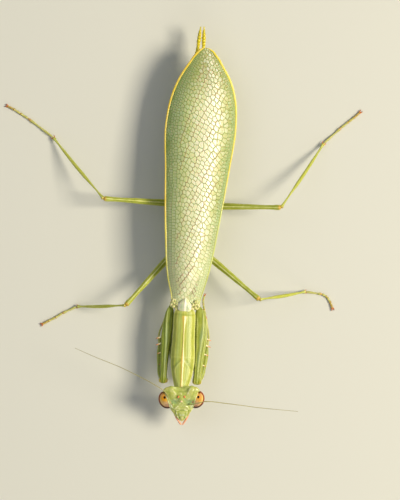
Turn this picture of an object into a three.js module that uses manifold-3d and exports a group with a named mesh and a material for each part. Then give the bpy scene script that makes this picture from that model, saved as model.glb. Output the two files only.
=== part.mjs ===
// A net-winged praying mantis at life size, standing on four legs with its wings folded and its front legs closed.
// Units are millimetres. The insect faces -Y and +Z is up, so its right side is -X. While it is built the floor is
// z = 0 and the origin is under the scutellum; the last lines bring the origin to the middle of the box's underside.
import * as THREE from "three";
import { mergeVertices } from "three/addons/utils/BufferGeometryUtils.js";
import Module from "manifold-3d";

const wasm = await Module();
wasm.setup();

// ---- driving dimensions ----
const GAP = 0.05; // clearance between neighbouring pieces
const THIN = 0.5; // least thickness of wings, leg segments and feelers
const WING_LENGTH = 22.5;
const WING_CROWN = 4.9; // highest line of the folded wings
const PROTHORAX_LENGTH = 6.75;
const PROTHORAX_YAW = 2; // degrees, towards the insect's left
const HEAD_YAW = 3.2;
const HEAD_PITCH = 27; // how far the face tips down from level
const THORAX_FLOOR = 1.45; // underside of the middle and hind thorax
const ABDOMEN_END = 20.6;
const CERCUS_END = 24.3;
const SIDES = { right: -1, left: 1 };

// ---- materials ----
const paint = (color, roughness) => new THREE.MeshStandardMaterial({ color, roughness, metalness: 0 });
const GREEN = paint(0x9fb45a, 0.45);
const PALE_GREEN = paint(0xb9c684, 0.45);
const LEG_GREEN = paint(0xa3b43c, 0.5);
const MEMBRANE = paint(0xc9d3ae, 0.35);
const VEIL = paint(0xdfe3cf, 0.3);
const AMBER = paint(0xd9a15c, 0.15);
const YELLOW = paint(0xd9cf2e, 0.5);
const PINK = paint(0xe8a183, 0.4);
const BROWN = paint(0x9c7d46, 0.6);
const RUST = paint(0xb5551d, 0.5);

// ---- shape helpers ----
const point = (x, y, z) => new THREE.Vector3(x, y, z);
const radians = THREE.MathUtils.degToRad;
const lerp = THREE.MathUtils.lerp;

// A smooth function through a few [place, value] pairs, with each slope taken from the neighbours.
function through(pairs) {
  const last = pairs.length - 1;
  const slope = (i) => {
    const [a, b] = [pairs[Math.max(i - 1, 0)], pairs[Math.min(i + 1, last)]];
    return (b[1] - a[1]) / (b[0] - a[0]);
  };
  return (place) => {
    const s = THREE.MathUtils.clamp(place, pairs[0][0], pairs[last][0]);
    const i = Math.min(pairs.findIndex(([at], k) => k === last || s < pairs[k + 1][0]), last - 1);
    const width = pairs[i + 1][0] - pairs[i][0];
    const t = (s - pairs[i][0]) / width;
    const bend = t * t * (3 - 2 * t);
    const rise = (t - 2 * t * t + t ** 3) * slope(i) + (t ** 3 - t * t) * slope(i + 1);
    return lerp(pairs[i][1], pairs[i + 1][1], bend) + width * rise;
  };
}

// A closed mesh from corners and triangles, turned so that its faces point out.
function closedMesh(corners, triangles) {
  let volume = 0;
  for (const [a, b, c] of triangles)
    volume += corners[a].dot(new THREE.Vector3().crossVectors(corners[b], corners[c]));
  const index = triangles.flatMap(([a, b, c]) => (volume > 0 ? [a, b, c] : [a, c, b]));
  return new THREE.BufferGeometry()
    .setAttribute("position", new THREE.Float32BufferAttribute(corners.flatMap((p) => p.toArray()), 3))
    .setIndex(index);
}

// A closed skin over a row of rings with the same number of points, each end closed by a fan.
function loft(rings) {
  const sides = rings[0].length;
  const corners = rings.flat();
  const triangles = [];
  for (let r = 0; r + 1 < rings.length; r++)
    for (let i = 0; i < sides; i++) {
      const [a, b] = [r * sides + i, r * sides + ((i + 1) % sides)];
      triangles.push([a, b, b + sides], [a, b + sides, a + sides]);
    }
  for (const [start, flip] of [[0, true], [(rings.length - 1) * sides, false]]) {
    const middle = new THREE.Vector3();
    for (let i = 0; i < sides; i++) middle.addScaledVector(corners[start + i], 1 / sides);
    const hub = corners.push(middle) - 1;
    for (let i = 0; i < sides; i++) {
      const [a, b] = [start + i, start + ((i + 1) % sides)];
      triangles.push(flip ? [hub, b, a] : [hub, a, b]);
    }
  }
  return closedMesh(corners, triangles);
}

// A ring round a body that runs along Y: half a width, and heights above and below its middle.
function bodyRing(x, y, z, half, above, below, sides = 16, power = 2.3) {
  return Array.from({ length: sides }, (_, i) => {
    const angle = (i / sides) * 2 * Math.PI;
    const [c, s] = [Math.cos(angle), Math.sin(angle)];
    const bulge = (v) => Math.sign(v) * Math.abs(v) ** (2 / power);
    return point(x + half * bulge(c), y, z + (s > 0 ? above : below) * bulge(s));
  });
}

// A body along Y from y0 to y1, with its middle line, half width and heights as functions of y.
function bodyLoft(y0, y1, steps, { x = () => 0, z, half, above, below, power }) {
  return loft(
    Array.from({ length: steps + 1 }, (_, i) => {
      const y = lerp(y0, y1, i / steps);
      return bodyRing(x(y), y, z(y), half(y), above(y), below(y), 16, power);
    }),
  );
}

// A limb through a row of points. width(t) and height(t) are half sizes at a share t of its length. An end plane
// cuts that end on a slant, so that two pieces meet face to face at a joint.
function limb(path, width, height, { sides = 8, startPlane, endPlane } = {}) {
  const lengths = [0];
  for (let i = 1; i < path.length; i++) lengths.push(lengths[i - 1] + path[i].distanceTo(path[i - 1]));
  const rings = path.map((p, i) => {
    const along = path[Math.min(i + 1, path.length - 1)].clone().sub(path[Math.max(i - 1, 0)]).normalize();
    const side = new THREE.Vector3().crossVectors(along, point(0, 0, 1)).normalize();
    const up = new THREE.Vector3().crossVectors(side, along);
    const t = lengths[i] / lengths.at(-1);
    const plane = i === 0 ? startPlane : i === path.length - 1 ? endPlane : null;
    return Array.from({ length: sides }, (_, k) => {
      const angle = ((k + 0.5) / sides) * 2 * Math.PI;
      const reach = 1 / Math.cos(Math.PI / sides);
      const offset = side
        .clone()
        .multiplyScalar(width(t) * reach * Math.cos(angle))
        .addScaledVector(up, height(t) * reach * Math.sin(angle));
      if (plane) offset.addScaledVector(along, -offset.dot(plane) / along.dot(plane));
      return p.clone().add(offset);
    });
  });
  return loft(rings);
}

// Points along a smooth curve through the given ones.
const smoothPath = (points, steps) => new THREE.CatmullRomCurve3(points).getPoints(steps);
const straightPath = (a, b, shares) => shares.map((t) => a.clone().lerp(b, t));
const evenShares = (steps) => Array.from({ length: steps + 1 }, (_, i) => i / steps);

function ellipsoid(centre, radii, around = 16, down = 10) {
  return new THREE.SphereGeometry(1, around, down).scale(...radii).translate(...centre);
}

// ---- joining and cutting ----
function toSolid(geometry) {
  const bare = geometry.clone();
  bare.deleteAttribute("normal");
  bare.deleteAttribute("uv");
  const merged = mergeVertices(bare, 1e-4);
  return new wasm.Manifold(
    new wasm.Mesh({
      numProp: 3,
      vertProperties: merged.attributes.position.array,
      triVerts: new Uint32Array(merged.index.array),
    }),
  );
}

function toGeometry(solid) {
  const mesh = solid.getMesh();
  return new THREE.BufferGeometry()
    .setAttribute("position", new THREE.BufferAttribute(new Float32Array(mesh.vertProperties), 3))
    .setIndex(new THREE.BufferAttribute(new Uint32Array(mesh.triVerts), 1));
}

const join = (...parts) => toGeometry(parts.map(toSolid).reduce((a, b) => a.add(b)));
const cut = (part, ...tools) => toGeometry(tools.map(toSolid).reduce((a, b) => a.subtract(b), toSolid(part)));

// ---- the groups that carry the pose ----
const mantis = new THREE.Group();
const prothoraxGroup = new THREE.Group();
prothoraxGroup.position.set(0.03, -0.58, 0);
prothoraxGroup.rotation.z = radians(PROTHORAX_YAW);
const headGroup = new THREE.Group();
headGroup.position.set(0, -PROTHORAX_LENGTH - 2 * GAP, 4.15);
headGroup.rotation.set(radians(HEAD_PITCH), 0, radians(HEAD_YAW), "ZXY");
prothoraxGroup.add(headGroup);
mantis.add(prothoraxGroup);

function addPiece(parent, name, geometry, material) {
  const mesh = new THREE.Mesh(geometry, material);
  mesh.name = name;
  parent.add(mesh);
  return mesh;
}

// ---- head: a flat triangle with the face up, built with the crown of the head at y = 0 and the mouth at -y ----
const HEAD_LENGTH = 3.45;
const headShape = (grow = 0) =>
  bodyLoft(0, -HEAD_LENGTH - grow, 14, {
    z: () => 0,
    half: through([[-3.5, 0.12 + grow], [-3.12, 0.47 + grow], [-2.75, 0.68 + grow], [-2.45, 0.88 + grow],
      [-2.05, 1.02 + grow], [-0.5, 1.52 + grow], [-0.2, 1.52 + grow], [0, 1.25 + grow]]),
    above: through([[-3.5, 0.1 + grow], [-2.6, 0.3 + grow], [-1.4, 0.34 + grow], [0, 0.14 + grow]]),
    below: through([[-3.5, 0.15 + grow], [-2.6, 0.55 + grow], [-1.2, 0.95 + grow], [-0.5, 0.7 + grow], [0, 0.3 + grow]]),
    power: 2.2,
  });
const eyeShape = (side, grow = 0) =>
  new THREE.SphereGeometry(1, 14, 10)
    .scale(0.74 + grow, 0.8 + grow, 0.68 + grow)
    .rotateZ(radians(-14 * side))
    .translate(side * 1.3, -1.45, -0.22);

addPiece(headGroup, "head", cut(headShape(), eyeShape(-1, GAP), eyeShape(1, GAP)), GREEN);
for (const [name, side] of Object.entries(SIDES)) {
  addPiece(headGroup, `eye_${name}`, eyeShape(side), AMBER);
  const palp = [point(side * 0.52, -2.5, -0.88), point(side * 0.45, -3.2, -0.66), point(side * 0.27, -3.95, -0.4)];
  addPiece(headGroup, `palp_${name}`, limb(smoothPath(palp, 4), () => 0.22, () => 0.2), PINK);
}

// ---- feelers: they rise from the face, pass over the eyes and reach out to the sides ----
const FEELERS = {
  right: [[-0.42, -8.72, 4.15], [-0.75, -8.3, 4.72], [-1.13, -7.85, 5.0], [-2.24, -7.24, 5.1],
    [-3.78, -6.58, 5], [-5.31, -6, 4.8], [-7.42, -5.35, 4.5], [-9.28, -4.71, 4.2]],
  left: [[1.3, -8.7, 4.15], [1.82, -8.56, 4.66], [2.49, -8.44, 4.85], [4.47, -8.47, 4.8],
    [7.31, -8.62, 4.5], [10.6, -8.69, 4.1]],
};
for (const [name, route] of Object.entries(FEELERS)) {
  const path = smoothPath(route.map((p) => point(...p)), 14);
  addPiece(mantis, `antenna_${name}`, limb(path, () => THIN / 2, () => THIN / 2, { sides: 6 }), BROWN);
}

// ---- prothorax: the shield and its underside, widest over the front hips, and the neck before it ----
const PROTHORAX_MIDDLE = 3.4;
const prothoraxShape = () =>
  bodyLoft(0, -PROTHORAX_LENGTH, 16, {
    z: () => PROTHORAX_MIDDLE,
    half: through([[-6.75, 0.54], [-6.2, 0.7], [-5, 0.97], [-3.9, 1.05], [-2, 0.91], [-0.7, 0.91], [-0.3, 0.78], [0, 0.48]]),
    above: through([[-6.75, 0.4], [-5.5, 0.64], [-3.5, 0.68], [-0.8, 0.55], [0, 0.35]]),
    below: through([[-6.75, 0.42], [-4.5, 0.6], [-0.8, 0.55], [0, 0.42]]),
    power: 2.1,
  });
addPiece(prothoraxGroup, "prothorax", prothoraxShape(), GREEN);

const headFrame = new THREE.Matrix4().compose(
  headGroup.position, headGroup.quaternion, new THREE.Vector3(1, 1, 1));
const neckPath = straightPath(point(0, -PROTHORAX_LENGTH - GAP, 3.32), point(0.02, -PROTHORAX_LENGTH - 1.1, 3.3), [0, 1]);
addPiece(prothoraxGroup, "neck",
  cut(limb(neckPath, () => 0.34, () => 0.3, { sides: 12 }), headShape(GAP).applyMatrix4(headFrame)), PALE_GREEN);

// ---- front legs: hip along the underside, thigh back up beside the shield, shin folded against its outer edge ----
// Each is laid out for the left side in the prothorax's frame and mirrored by side.
const FRONT_KNEE_SPLAY = { right: 0.16, left: 0 };
for (const [name, side] of Object.entries(SIDES)) {
  const splay = FRONT_KNEE_SPLAY[name];
  const at = (x, y, z) => point(side * x, y, z);
  const trochanter = (grow = 0) => ellipsoid([side * 1.24, -0.12, 2.42], [0.25 + grow, 0.36 + grow, 0.3 + grow], 10, 6);
  const hipPath = straightPath(at(0.62, -4.8, 2.42), at(1.1, -0.25, 2.2), evenShares(5));
  const hipWidth = (t) => 0.31 - 0.05 * t;
  const hip = limb(hipPath, hipWidth, hipWidth);
  const hipGrown = limb(hipPath, (t) => hipWidth(t) + GAP, (t) => hipWidth(t) + GAP);
  const thighPath = straightPath(at(1.38, -0.15, 2.78), at(1.5 + splay, -6.35, 2.8), evenShares(8));
  const thighHalf = through([[0, 0.22], [0.2, 0.38], [0.5, 0.44], [0.75, 0.41], [0.93, 0.33], [1, 0.36]]);
  const thigh = limb(thighPath, thighHalf, () => 0.26, { sides: 10 });
  const spines = [2.6, 3.2, 3.9, 4.85].map((forward, i) => {
    const reach = 0.72 - 0.05 * i;
    return new THREE.ConeGeometry(0.09, reach, 6)
      .rotateZ(-side * Math.PI / 2)
      .translate(side * (1.5 + splay * 0.5 + 0.3 + reach / 2), -forward, 2.84);
  });
  addPiece(prothoraxGroup, `fore_trochanter_${name}`, trochanter(), LEG_GREEN);
  addPiece(prothoraxGroup, `fore_coxa_${name}`, cut(hip, trochanter(GAP)), LEG_GREEN);
  addPiece(prothoraxGroup, `fore_femur_${name}`, cut(join(thigh, ...spines), trochanter(GAP), hipGrown), LEG_GREEN);

  const shinPath = straightPath(at(1.82 + splay, -6.2, 2.35), at(2.06, -2.85, 2.3), evenShares(4));
  const claw = new THREE.ConeGeometry(0.16, 0.7, 6)
    .rotateX(0.15)
    .rotateZ(side * 0.45)
    .translate(side * 1.93, -2.6, 2.3);
  addPiece(prothoraxGroup, `fore_tibia_${name}`, join(limb(shinPath, () => 0.25, () => 0.24), claw), LEG_GREEN);
  const footPath = smoothPath([at(2.42, -3.3, 2.12), at(2.44, -2.4, 2.05), at(2.1, -0.5, 2.05), at(1.82, 1.15, 2.1)], 6);
  addPiece(prothoraxGroup, `fore_tarsus_${name}`,
    cut(limb(footPath, () => 0.22, () => 0.2), limb(shinPath, () => 0.25 + GAP, () => 0.24 + GAP)), YELLOW);
}

// ---- middle and hind thorax, with the small shield that shows between the wing roots ----
const thoraxHalf = through([[-0.5, 0.5], [0.2, 0.95], [1.2, 1.15], [4, 1.25], [6.9, 1.1]]);
const thoraxTop = through([[-0.5, 3.3], [0.4, 3.4], [3.2, 3.35], [3.6, 3.1], [6.9, 3.05]]);
const THORAX_MIDDLE = 2.35;
const thoraxShape = (y0, y1, grow = 0) =>
  bodyLoft(y0 - grow, y1 + grow, 6, {
    z: () => THORAX_MIDDLE,
    half: (y) => thoraxHalf(y) + grow,
    above: (y) => thoraxTop(y) - THORAX_MIDDLE + grow,
    below: () => THORAX_MIDDLE - THORAX_FLOOR + grow,
  });
const MESOTHORAX = [-0.5, 3.25];
const METATHORAX = [3.25 + GAP, 6.9];
const scutellum = ellipsoid([0, -0.02, 3.45], [0.6, 0.55, 0.6], 12, 8);
addPiece(mantis, "mesothorax", join(thoraxShape(...MESOTHORAX), scutellum), PALE_GREEN);
addPiece(mantis, "metathorax", thoraxShape(...METATHORAX), PALE_GREEN);

// ---- folded wings: shells at set depths under one roof, which is arched across and bowed along ----
const costalRight = through([[0, 1.15], [1.9, 1.6], [6.3, 2.2], [11.5, 2.63], [15.9, 2.92], [18.3, 2.52], [20.5, 1.62],
  [21.7, 0.87], [WING_LENGTH, 0.08]]);
const costalLeft = through([[0, 1.25], [2.2, 1.73], [7.5, 2.45], [12, 2.93], [16, 3.2], [18.1, 2.98], [20, 2.24],
  [21.7, 1.03], [WING_LENGTH, 0.08]]);
const roof = (x, y) => WING_CROWN - 0.0035 * (y - 4) ** 2 - (0.14 + 0.2 * Math.exp(-((y / 5) ** 2))) * x * x;

function roofPoint(x, y, depth) {
  const step = 1e-3;
  const slope = (roof(x + step, y) - roof(x - step, y)) / (2 * step);
  const normal = point(-slope, 0, 1).normalize();
  return point(x, y, roof(x, y)).addScaledVector(normal, -depth);
}

// A shell between two edges given as x over y, from one depth under the roof to another.
function wingShell(y0, y1, from, to, depth, { along = 18, across = 5 } = {}) {
  const layer = (d) =>
    evenShares(along).map((s) => {
      const y = lerp(y0, y1, lerp(s, (1 - Math.cos(s * Math.PI)) / 2, 0.6));
      return evenShares(across).map((t) => roofPoint(lerp(from(y), to(y), t), y, d));
    });
  const [top, bottom] = [layer(depth), layer(depth + THIN)];
  return loft(top.map((row, i) => [...row, ...bottom[i].toReversed()]));
}

const INNER_INSET = 0.4; // how far a wing's inner edge stops short of the other wing's leading edge
const innerEdge = (costal) => {
  const near = through([[0, -0.9], [0.75, -0.86], [1.2, 0], [2.3, 1.05], [4, costal(4) - INNER_INSET]]);
  return (y) => (y < 4 ? near(y) : Math.max(costal(y) - INNER_INSET, 0));
};
const tegmenRight = wingShell(0, WING_LENGTH, (y) => -costalRight(y), innerEdge(costalLeft), 0);
const tegmenLeft = wingShell(0, WING_LENGTH - 0.3, costalLeft, (y) => -innerEdge(costalRight)(y), THIN + GAP);
addPiece(mantis, "tegmen_right", tegmenRight, MEMBRANE);
addPiece(mantis, "tegmen_left", tegmenLeft, MEMBRANE);
const hindwingHalf = through([[3.5, 0.9], [10, 1.75], [16, 2], [19.5, 1.2], [21, 0.3]]);
for (const [name, side] of Object.entries(SIDES)) {
  const shell = wingShell(3.5, 21, () => side * GAP, (y) => side * hindwingHalf(y), 2 * (THIN + GAP), { along: 12, across: 3 });
  addPiece(mantis, `hindwing_${name}`, shell, VEIL);
}

// ---- abdomen: flat under the wings and bending a little to the right, with its two tail feelers ----
const abdomenDrift = (y) => -0.42 * ((y - METATHORAX[1]) / (ABDOMEN_END - METATHORAX[1])) ** 2;
const abdomenMiddle = through([[6.9, 2.25], [14, 2.2], [20.6, 2.05]]);
addPiece(mantis, "abdomen",
  bodyLoft(METATHORAX[1] + GAP, ABDOMEN_END, 15, {
    x: abdomenDrift,
    z: abdomenMiddle,
    half: through([[6.9, 1.05], [9, 1.45], [13, 1.8], [16, 1.72], [18.8, 1.2], [20.2, 0.7], [20.6, 0.5]]),
    above: through([[6.9, 0.75], [10, 0.68], [13, 0.5], [17, 0.3], [20.6, 0.2]]),
    below: through([[6.9, 0.6], [13, 0.72], [18, 0.6], [20.6, 0.3]]),
  }), PALE_GREEN);
for (const [name, side] of Object.entries(SIDES)) {
  const x = (away) => abdomenDrift(ABDOMEN_END) + side * away;
  const path = [point(x(0.3), ABDOMEN_END + GAP, 2.05), point(x(0.27), 22.2, 2.1), point(x(0.25), CERCUS_END, 2.45)];
  const taper = through([[0, 0.22], [0.6, 0.22], [1, 0.09]]);
  addPiece(mantis, `cercus_${name}`, limb(smoothPath(path, 6), taper, taper), YELLOW);
}

// ---- walking legs: each hip runs back under the thorax to a round joint, and the foot lies flat on the floor ----
// Angles are degrees from +X in plan. A tarsus is a row of [length, angle], and every foot's underside is z = 0.
const LEG_HALF = 0.26;
const HIP_END = 1.28; // height of the joint between hip and thigh
const ANKLE = LEG_HALF + 0.02;
const MIDDLE_LEG = { segment: MESOTHORAX, hipFrom: 2.75, hipTo: 4.62, femur: 6.87, tibia: 5.27 };
const HIND_LEG = { segment: METATHORAX, hipFrom: 6.7, hipTo: 8.68, femur: 6.9, tibia: 7.6 };
const LEGS = {
  middle_right: { ...MIDDLE_LEG, side: -1, knee: 3.2, femurAngle: -127.3, tibiaAngle: -173.5,
    tarsus: [[1.47, -151], [0.75, -143], [0.68, -150], [0.55, -147]] },
  middle_left: { ...MIDDLE_LEG, side: 1, knee: 3.45, femurAngle: -35.6, tibiaAngle: 13.5,
    tarsus: [[1.5, -4], [0.5, -24], [0.6, -55], [0.5, -66]] },
  hind_right: { ...HIND_LEG, side: -1, knee: 2.9, femurAngle: -179.2, tibiaAngle: 134.2,
    tarsus: [[2.78, 147.5], [0.85, 152], [0.73, 152], [0.55, 158]] },
  hind_left: { ...HIND_LEG, side: 1, knee: 3.4, femurAngle: 3.2, tibiaAngle: 60.6,
    tarsus: [[2.07, 46.5], [0.85, 43], [0.7, 42], [0.6, 47]] },
};

// A point at a height, at a true distance from another and in a plan direction.
function reach(from, length, angle, height) {
  const plan = Math.sqrt(length ** 2 - (height - from.z) ** 2);
  return point(from.x + plan * Math.cos(radians(angle)), from.y + plan * Math.sin(radians(angle)), height);
}

// The plane that halves the bend between a limb's two directions at a joint.
const bendPlane = (before, joint, after) =>
  joint.clone().sub(before).normalize().add(after.clone().sub(joint).normalize()).normalize();

for (const [name, leg] of Object.entries(LEGS)) {
  const joint = point(leg.side * 1.2, leg.hipTo, HIP_END);
  const knee = reach(joint, leg.femur, leg.femurAngle, leg.knee);
  const ankle = reach(knee, leg.tibia, leg.tibiaAngle, ANKLE);
  const toes = [ankle];
  for (const [length, angle] of leg.tarsus) toes.push(reach(toes.at(-1), length, angle, ANKLE));

  const hipPath = straightPath(point(leg.side * 0.62, leg.hipFrom, 1.5), joint, [0, 0.35, 0.7, 1]);
  const hip = (grow) =>
    join(limb(hipPath, (t) => 0.34 - 0.08 * t + grow, (t) => 0.32 - 0.06 * t + grow),
      ellipsoid(joint.toArray(), [0.3 + grow, 0.3 + grow, 0.3 + grow], 8, 6));
  const abdomenRoom = thoraxShape(METATHORAX[1], METATHORAX[1] + 3, GAP);
  addPiece(mantis, `${name}_coxa`,
    cut(hip(0), thoraxShape(...MESOTHORAX, GAP), thoraxShape(...METATHORAX, GAP), abdomenRoom), LEG_GREEN);

  const kneePlane = bendPlane(joint, knee, ankle);
  const anklePlane = bendPlane(knee, ankle, toes[1]);
  const toKnee = knee.clone().sub(joint).normalize();
  const toAnkle = ankle.clone().sub(knee).normalize();
  const toToes = toes[1].clone().sub(ankle).normalize();
  const back = (p, along, distance) => p.clone().addScaledVector(along, -distance);
  const femurHalf = (t) => lerp(0.34, LEG_HALF, Math.min(1, t * 1.2));
  const femurPath = straightPath(joint, back(knee, toKnee, GAP), [0, 0.3, 0.65, 1]);
  addPiece(mantis, `${name}_femur`,
    cut(limb(femurPath, femurHalf, femurHalf, { endPlane: kneePlane }), hip(GAP)), LEG_GREEN);
  const tibiaPath = straightPath(back(knee, toAnkle, -GAP), back(ankle, toAnkle, GAP), [0, 0.33, 0.67, 1]);
  addPiece(mantis, `${name}_tibia`,
    limb(tibiaPath, () => LEG_HALF - 0.01, () => LEG_HALF - 0.01, { startPlane: kneePlane, endPlane: anklePlane }), LEG_GREEN);
  toes[0] = back(ankle, toToes, -GAP);
  for (const toe of toes) toe.z = THIN / 2;
  addPiece(mantis, `${name}_tarsus`, limb(toes, () => THIN / 2, () => THIN / 2, { startPlane: anklePlane }), RUST);
}

// ---- the origin goes to the middle of the box's underside ----
const box = new THREE.Box3().setFromObject(mantis, true);
const part = new THREE.Group();
mantis.position.set(-(box.min.x + box.max.x) / 2, -(box.min.y + box.max.y) / 2, -box.min.z);
part.add(mantis);

export default part;
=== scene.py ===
"""A net-winged praying mantis at life size, resting on its feet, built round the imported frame.

The insect faces -Y with +Z up, so its right side is -X. Sizes are in millimetres, laid out from the middle of
the wing roots at floor level, and every finished mesh is in metres in the frame's own axes.
"""
import math

import bpy
import numpy as np
from mathutils import Matrix, Vector
from mathutils.geometry import delaunay_2d_cdt


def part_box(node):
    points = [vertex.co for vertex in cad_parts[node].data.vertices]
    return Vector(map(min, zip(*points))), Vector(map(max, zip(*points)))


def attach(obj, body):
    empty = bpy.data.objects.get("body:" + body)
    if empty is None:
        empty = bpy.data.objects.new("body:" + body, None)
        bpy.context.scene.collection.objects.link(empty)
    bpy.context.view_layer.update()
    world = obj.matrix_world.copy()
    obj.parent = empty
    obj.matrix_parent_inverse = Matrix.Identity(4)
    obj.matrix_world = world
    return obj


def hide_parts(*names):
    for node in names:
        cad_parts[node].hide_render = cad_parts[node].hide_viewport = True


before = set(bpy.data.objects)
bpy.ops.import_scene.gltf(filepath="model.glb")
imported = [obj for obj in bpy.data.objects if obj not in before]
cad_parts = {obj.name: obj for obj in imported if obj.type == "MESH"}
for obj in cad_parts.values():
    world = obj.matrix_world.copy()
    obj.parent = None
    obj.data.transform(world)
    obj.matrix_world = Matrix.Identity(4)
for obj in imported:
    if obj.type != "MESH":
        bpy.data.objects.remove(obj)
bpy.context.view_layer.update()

# ---- floor, light and camera ----
# A plain pale floor under a studio's soft boxes, with the camera straight above the insect on a long lens,
# rolled so that the body leans a little in the frame.
MM = 0.001
thorax_low, thorax_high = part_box("metathorax")
WING_ROOTS = Vector(((thorax_low.x + thorax_high.x) / 2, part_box("tegmen_right")[0].y, 0))


def linear(hex_colour):
    """An sRGB hex colour as linear red, green, blue and alpha."""
    channels = [int(hex_colour[i : i + 2], 16) / 255 for i in (1, 3, 5)]
    return [c / 12.92 if c <= 0.04045 else ((c + 0.055) / 1.055) ** 2.4 for c in channels] + [1]


def set_inputs(node, inputs):
    """Sets or links a node's inputs, named or numbered."""
    for key, value in inputs.items():
        if isinstance(value, bpy.types.NodeSocket):
            node.id_data.links.new(value, node.inputs[key])
        else:
            node.inputs[key].default_value = value


def add_node(tree, kind, inputs=None, **settings):
    """Adds a node with its settings and its inputs."""
    node = tree.nodes.new(kind)
    for name, value in settings.items():
        setattr(node, name, value)
    set_inputs(node, inputs or {})
    return node


def new_finish(name):
    """A new node material, with its tree and its main shader."""
    material = bpy.data.materials.new(name)
    material.use_nodes = True
    return material, material.node_tree, material.node_tree.nodes["Principled BSDF"]


def add_object(name, data):
    thing = bpy.data.objects.new(name, data)
    bpy.context.scene.collection.objects.link(thing)
    return thing


FLOOR_HALF = 0.4
floor_paint, _, shader = new_finish("matt_pale_paper")
set_inputs(shader, {"Base Color": linear("#d9dad2"), "Roughness": 0.9})
floor_mesh = bpy.data.meshes.new("floor")
floor_corners = [(x * FLOOR_HALF, y * FLOOR_HALF, 0) for x, y in ((-1, -1), (1, -1), (1, 1), (-1, 1))]
floor_mesh.from_pydata(floor_corners, [], [(0, 1, 2, 3)])
floor_mesh.materials.append(floor_paint)
floor = add_object("floor", floor_mesh)

LENS_ROLL = math.radians(4.574)
VIEW_HEIGHT = 43.97 * MM  # what the frame takes in from top to bottom, at the insect's own height
VIEW_MIDDLE = WING_ROOTS + Vector((0.94, 4.75, 3.5)) * MM
CAMERA_RANGE = 300 * MM
SENSOR_HEIGHT = 24
camera_data = bpy.data.cameras.new("macro_lens")
camera_data.sensor_fit = "VERTICAL"
camera_data.sensor_height = SENSOR_HEIGHT
camera_data.lens = SENSOR_HEIGHT * CAMERA_RANGE / VIEW_HEIGHT
camera_data.clip_start = 0.01
camera = add_object("camera", camera_data)
camera.location = VIEW_MIDDLE + Vector((0, 0, CAMERA_RANGE))
camera.rotation_euler = (0, 0, LENS_ROLL)
bpy.context.scene.camera = camera


def soft_box(name, azimuth, elevation, distance, size, watts, colour):
    """A square soft box aimed at the insect; azimuth is in plan from +X."""
    light = bpy.data.lights.new(name, "AREA")
    light.shape, light.size, light.energy, light.color = "SQUARE", size, watts, linear(colour)[:3]
    lamp = add_object(name, light)
    around, up = math.radians(azimuth), math.radians(elevation)
    aim = Vector((math.cos(around) * math.cos(up), math.sin(around) * math.cos(up), math.sin(up)))
    lamp.location = aim * distance
    lamp.rotation_euler = aim.to_track_quat("Z", "Y").to_euler()


soft_box("key", 5, 46, 0.32, 0.11, 1.1, "#fff4dd")
soft_box("fill", 150, 55, 0.4, 0.3, 0.2, "#f2f6ff")
soft_box("low_back", -75, 30, 0.4, 0.2, 0.2, "#fff7ea")
world = bpy.data.worlds.new("studio")
world.use_nodes = True
set_inputs(world.node_tree.nodes["Background"], {"Color": linear("#e9ecef"), "Strength": 0.26})
bpy.context.scene.world = world
bpy.context.scene.view_settings.view_transform = "Standard"

# ---- middle and hind thorax, with the scutellum ----
# The box that carries the wings and four legs: plates of pale green cuticle over a soft side, hardened in one
# skin. A small bluish shield, the scutellum, shows between the wing roots with a white keel along it.


def through(*pairs):
    """A smooth function through a few (place, value) pairs, with each slope taken from the neighbours."""
    places, values = (np.array(column, float) for column in zip(*pairs))
    slopes = np.gradient(values, places)

    def value_at(place):
        s = np.clip(place, places[0], places[-1])
        i = np.clip(np.searchsorted(places, s, side="right") - 1, 0, len(places) - 2)
        width = places[i + 1] - places[i]
        t = (s - places[i]) / width
        blend = t * t * (3 - 2 * t)
        rise = (t - 2 * t**2 + t**3) * slopes[i] + (t**3 - t**2) * slopes[i + 1]
        return values[i] + (values[i + 1] - values[i]) * blend + width * rise

    return value_at


def bump_at(value, middle, half):
    """1 at the middle of a band and 0 well outside it."""
    return np.exp(-(((value - middle) / half) ** 2))


def add_shape(name, corners, edges=(), faces=(), marks=None):
    """An object from corners in mm. A mark is one number, or a number or a vector for each corner."""
    mesh = bpy.data.meshes.new(name)
    mesh.from_pydata((np.asarray(corners, float) * MM + np.array(WING_ROOTS)).tolist(), edges, faces)
    for mark, values in (marks or {}).items():
        values = np.asarray(values if np.ndim(values) else np.full(len(corners), values), np.float32)
        kind, field = ("FLOAT", "value") if values.ndim == 1 else ("FLOAT_VECTOR", "vector")
        mesh.attributes.new(mark, kind, "POINT").data.foreach_set(field, values.ravel())
    return add_object(name, mesh)


def add_piece(name, skin, material, place=None):
    """A smooth piece with its finish, from a skin of corners, faces and marks, which a matrix may carry."""
    corners, faces, marks = skin
    piece = add_shape(name, corners if place is None else carried(place, corners), faces=faces, marks=marks)
    piece.data.materials.append(material)
    piece.data.shade_smooth()
    return piece


def fit(piece, slot, *nodes):
    """The piece rides with the body and stands for the named solids, which are hidden. The slot is not used.
    """
    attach(piece, "root")
    if nodes:
        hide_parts(*nodes)
    return piece


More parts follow.
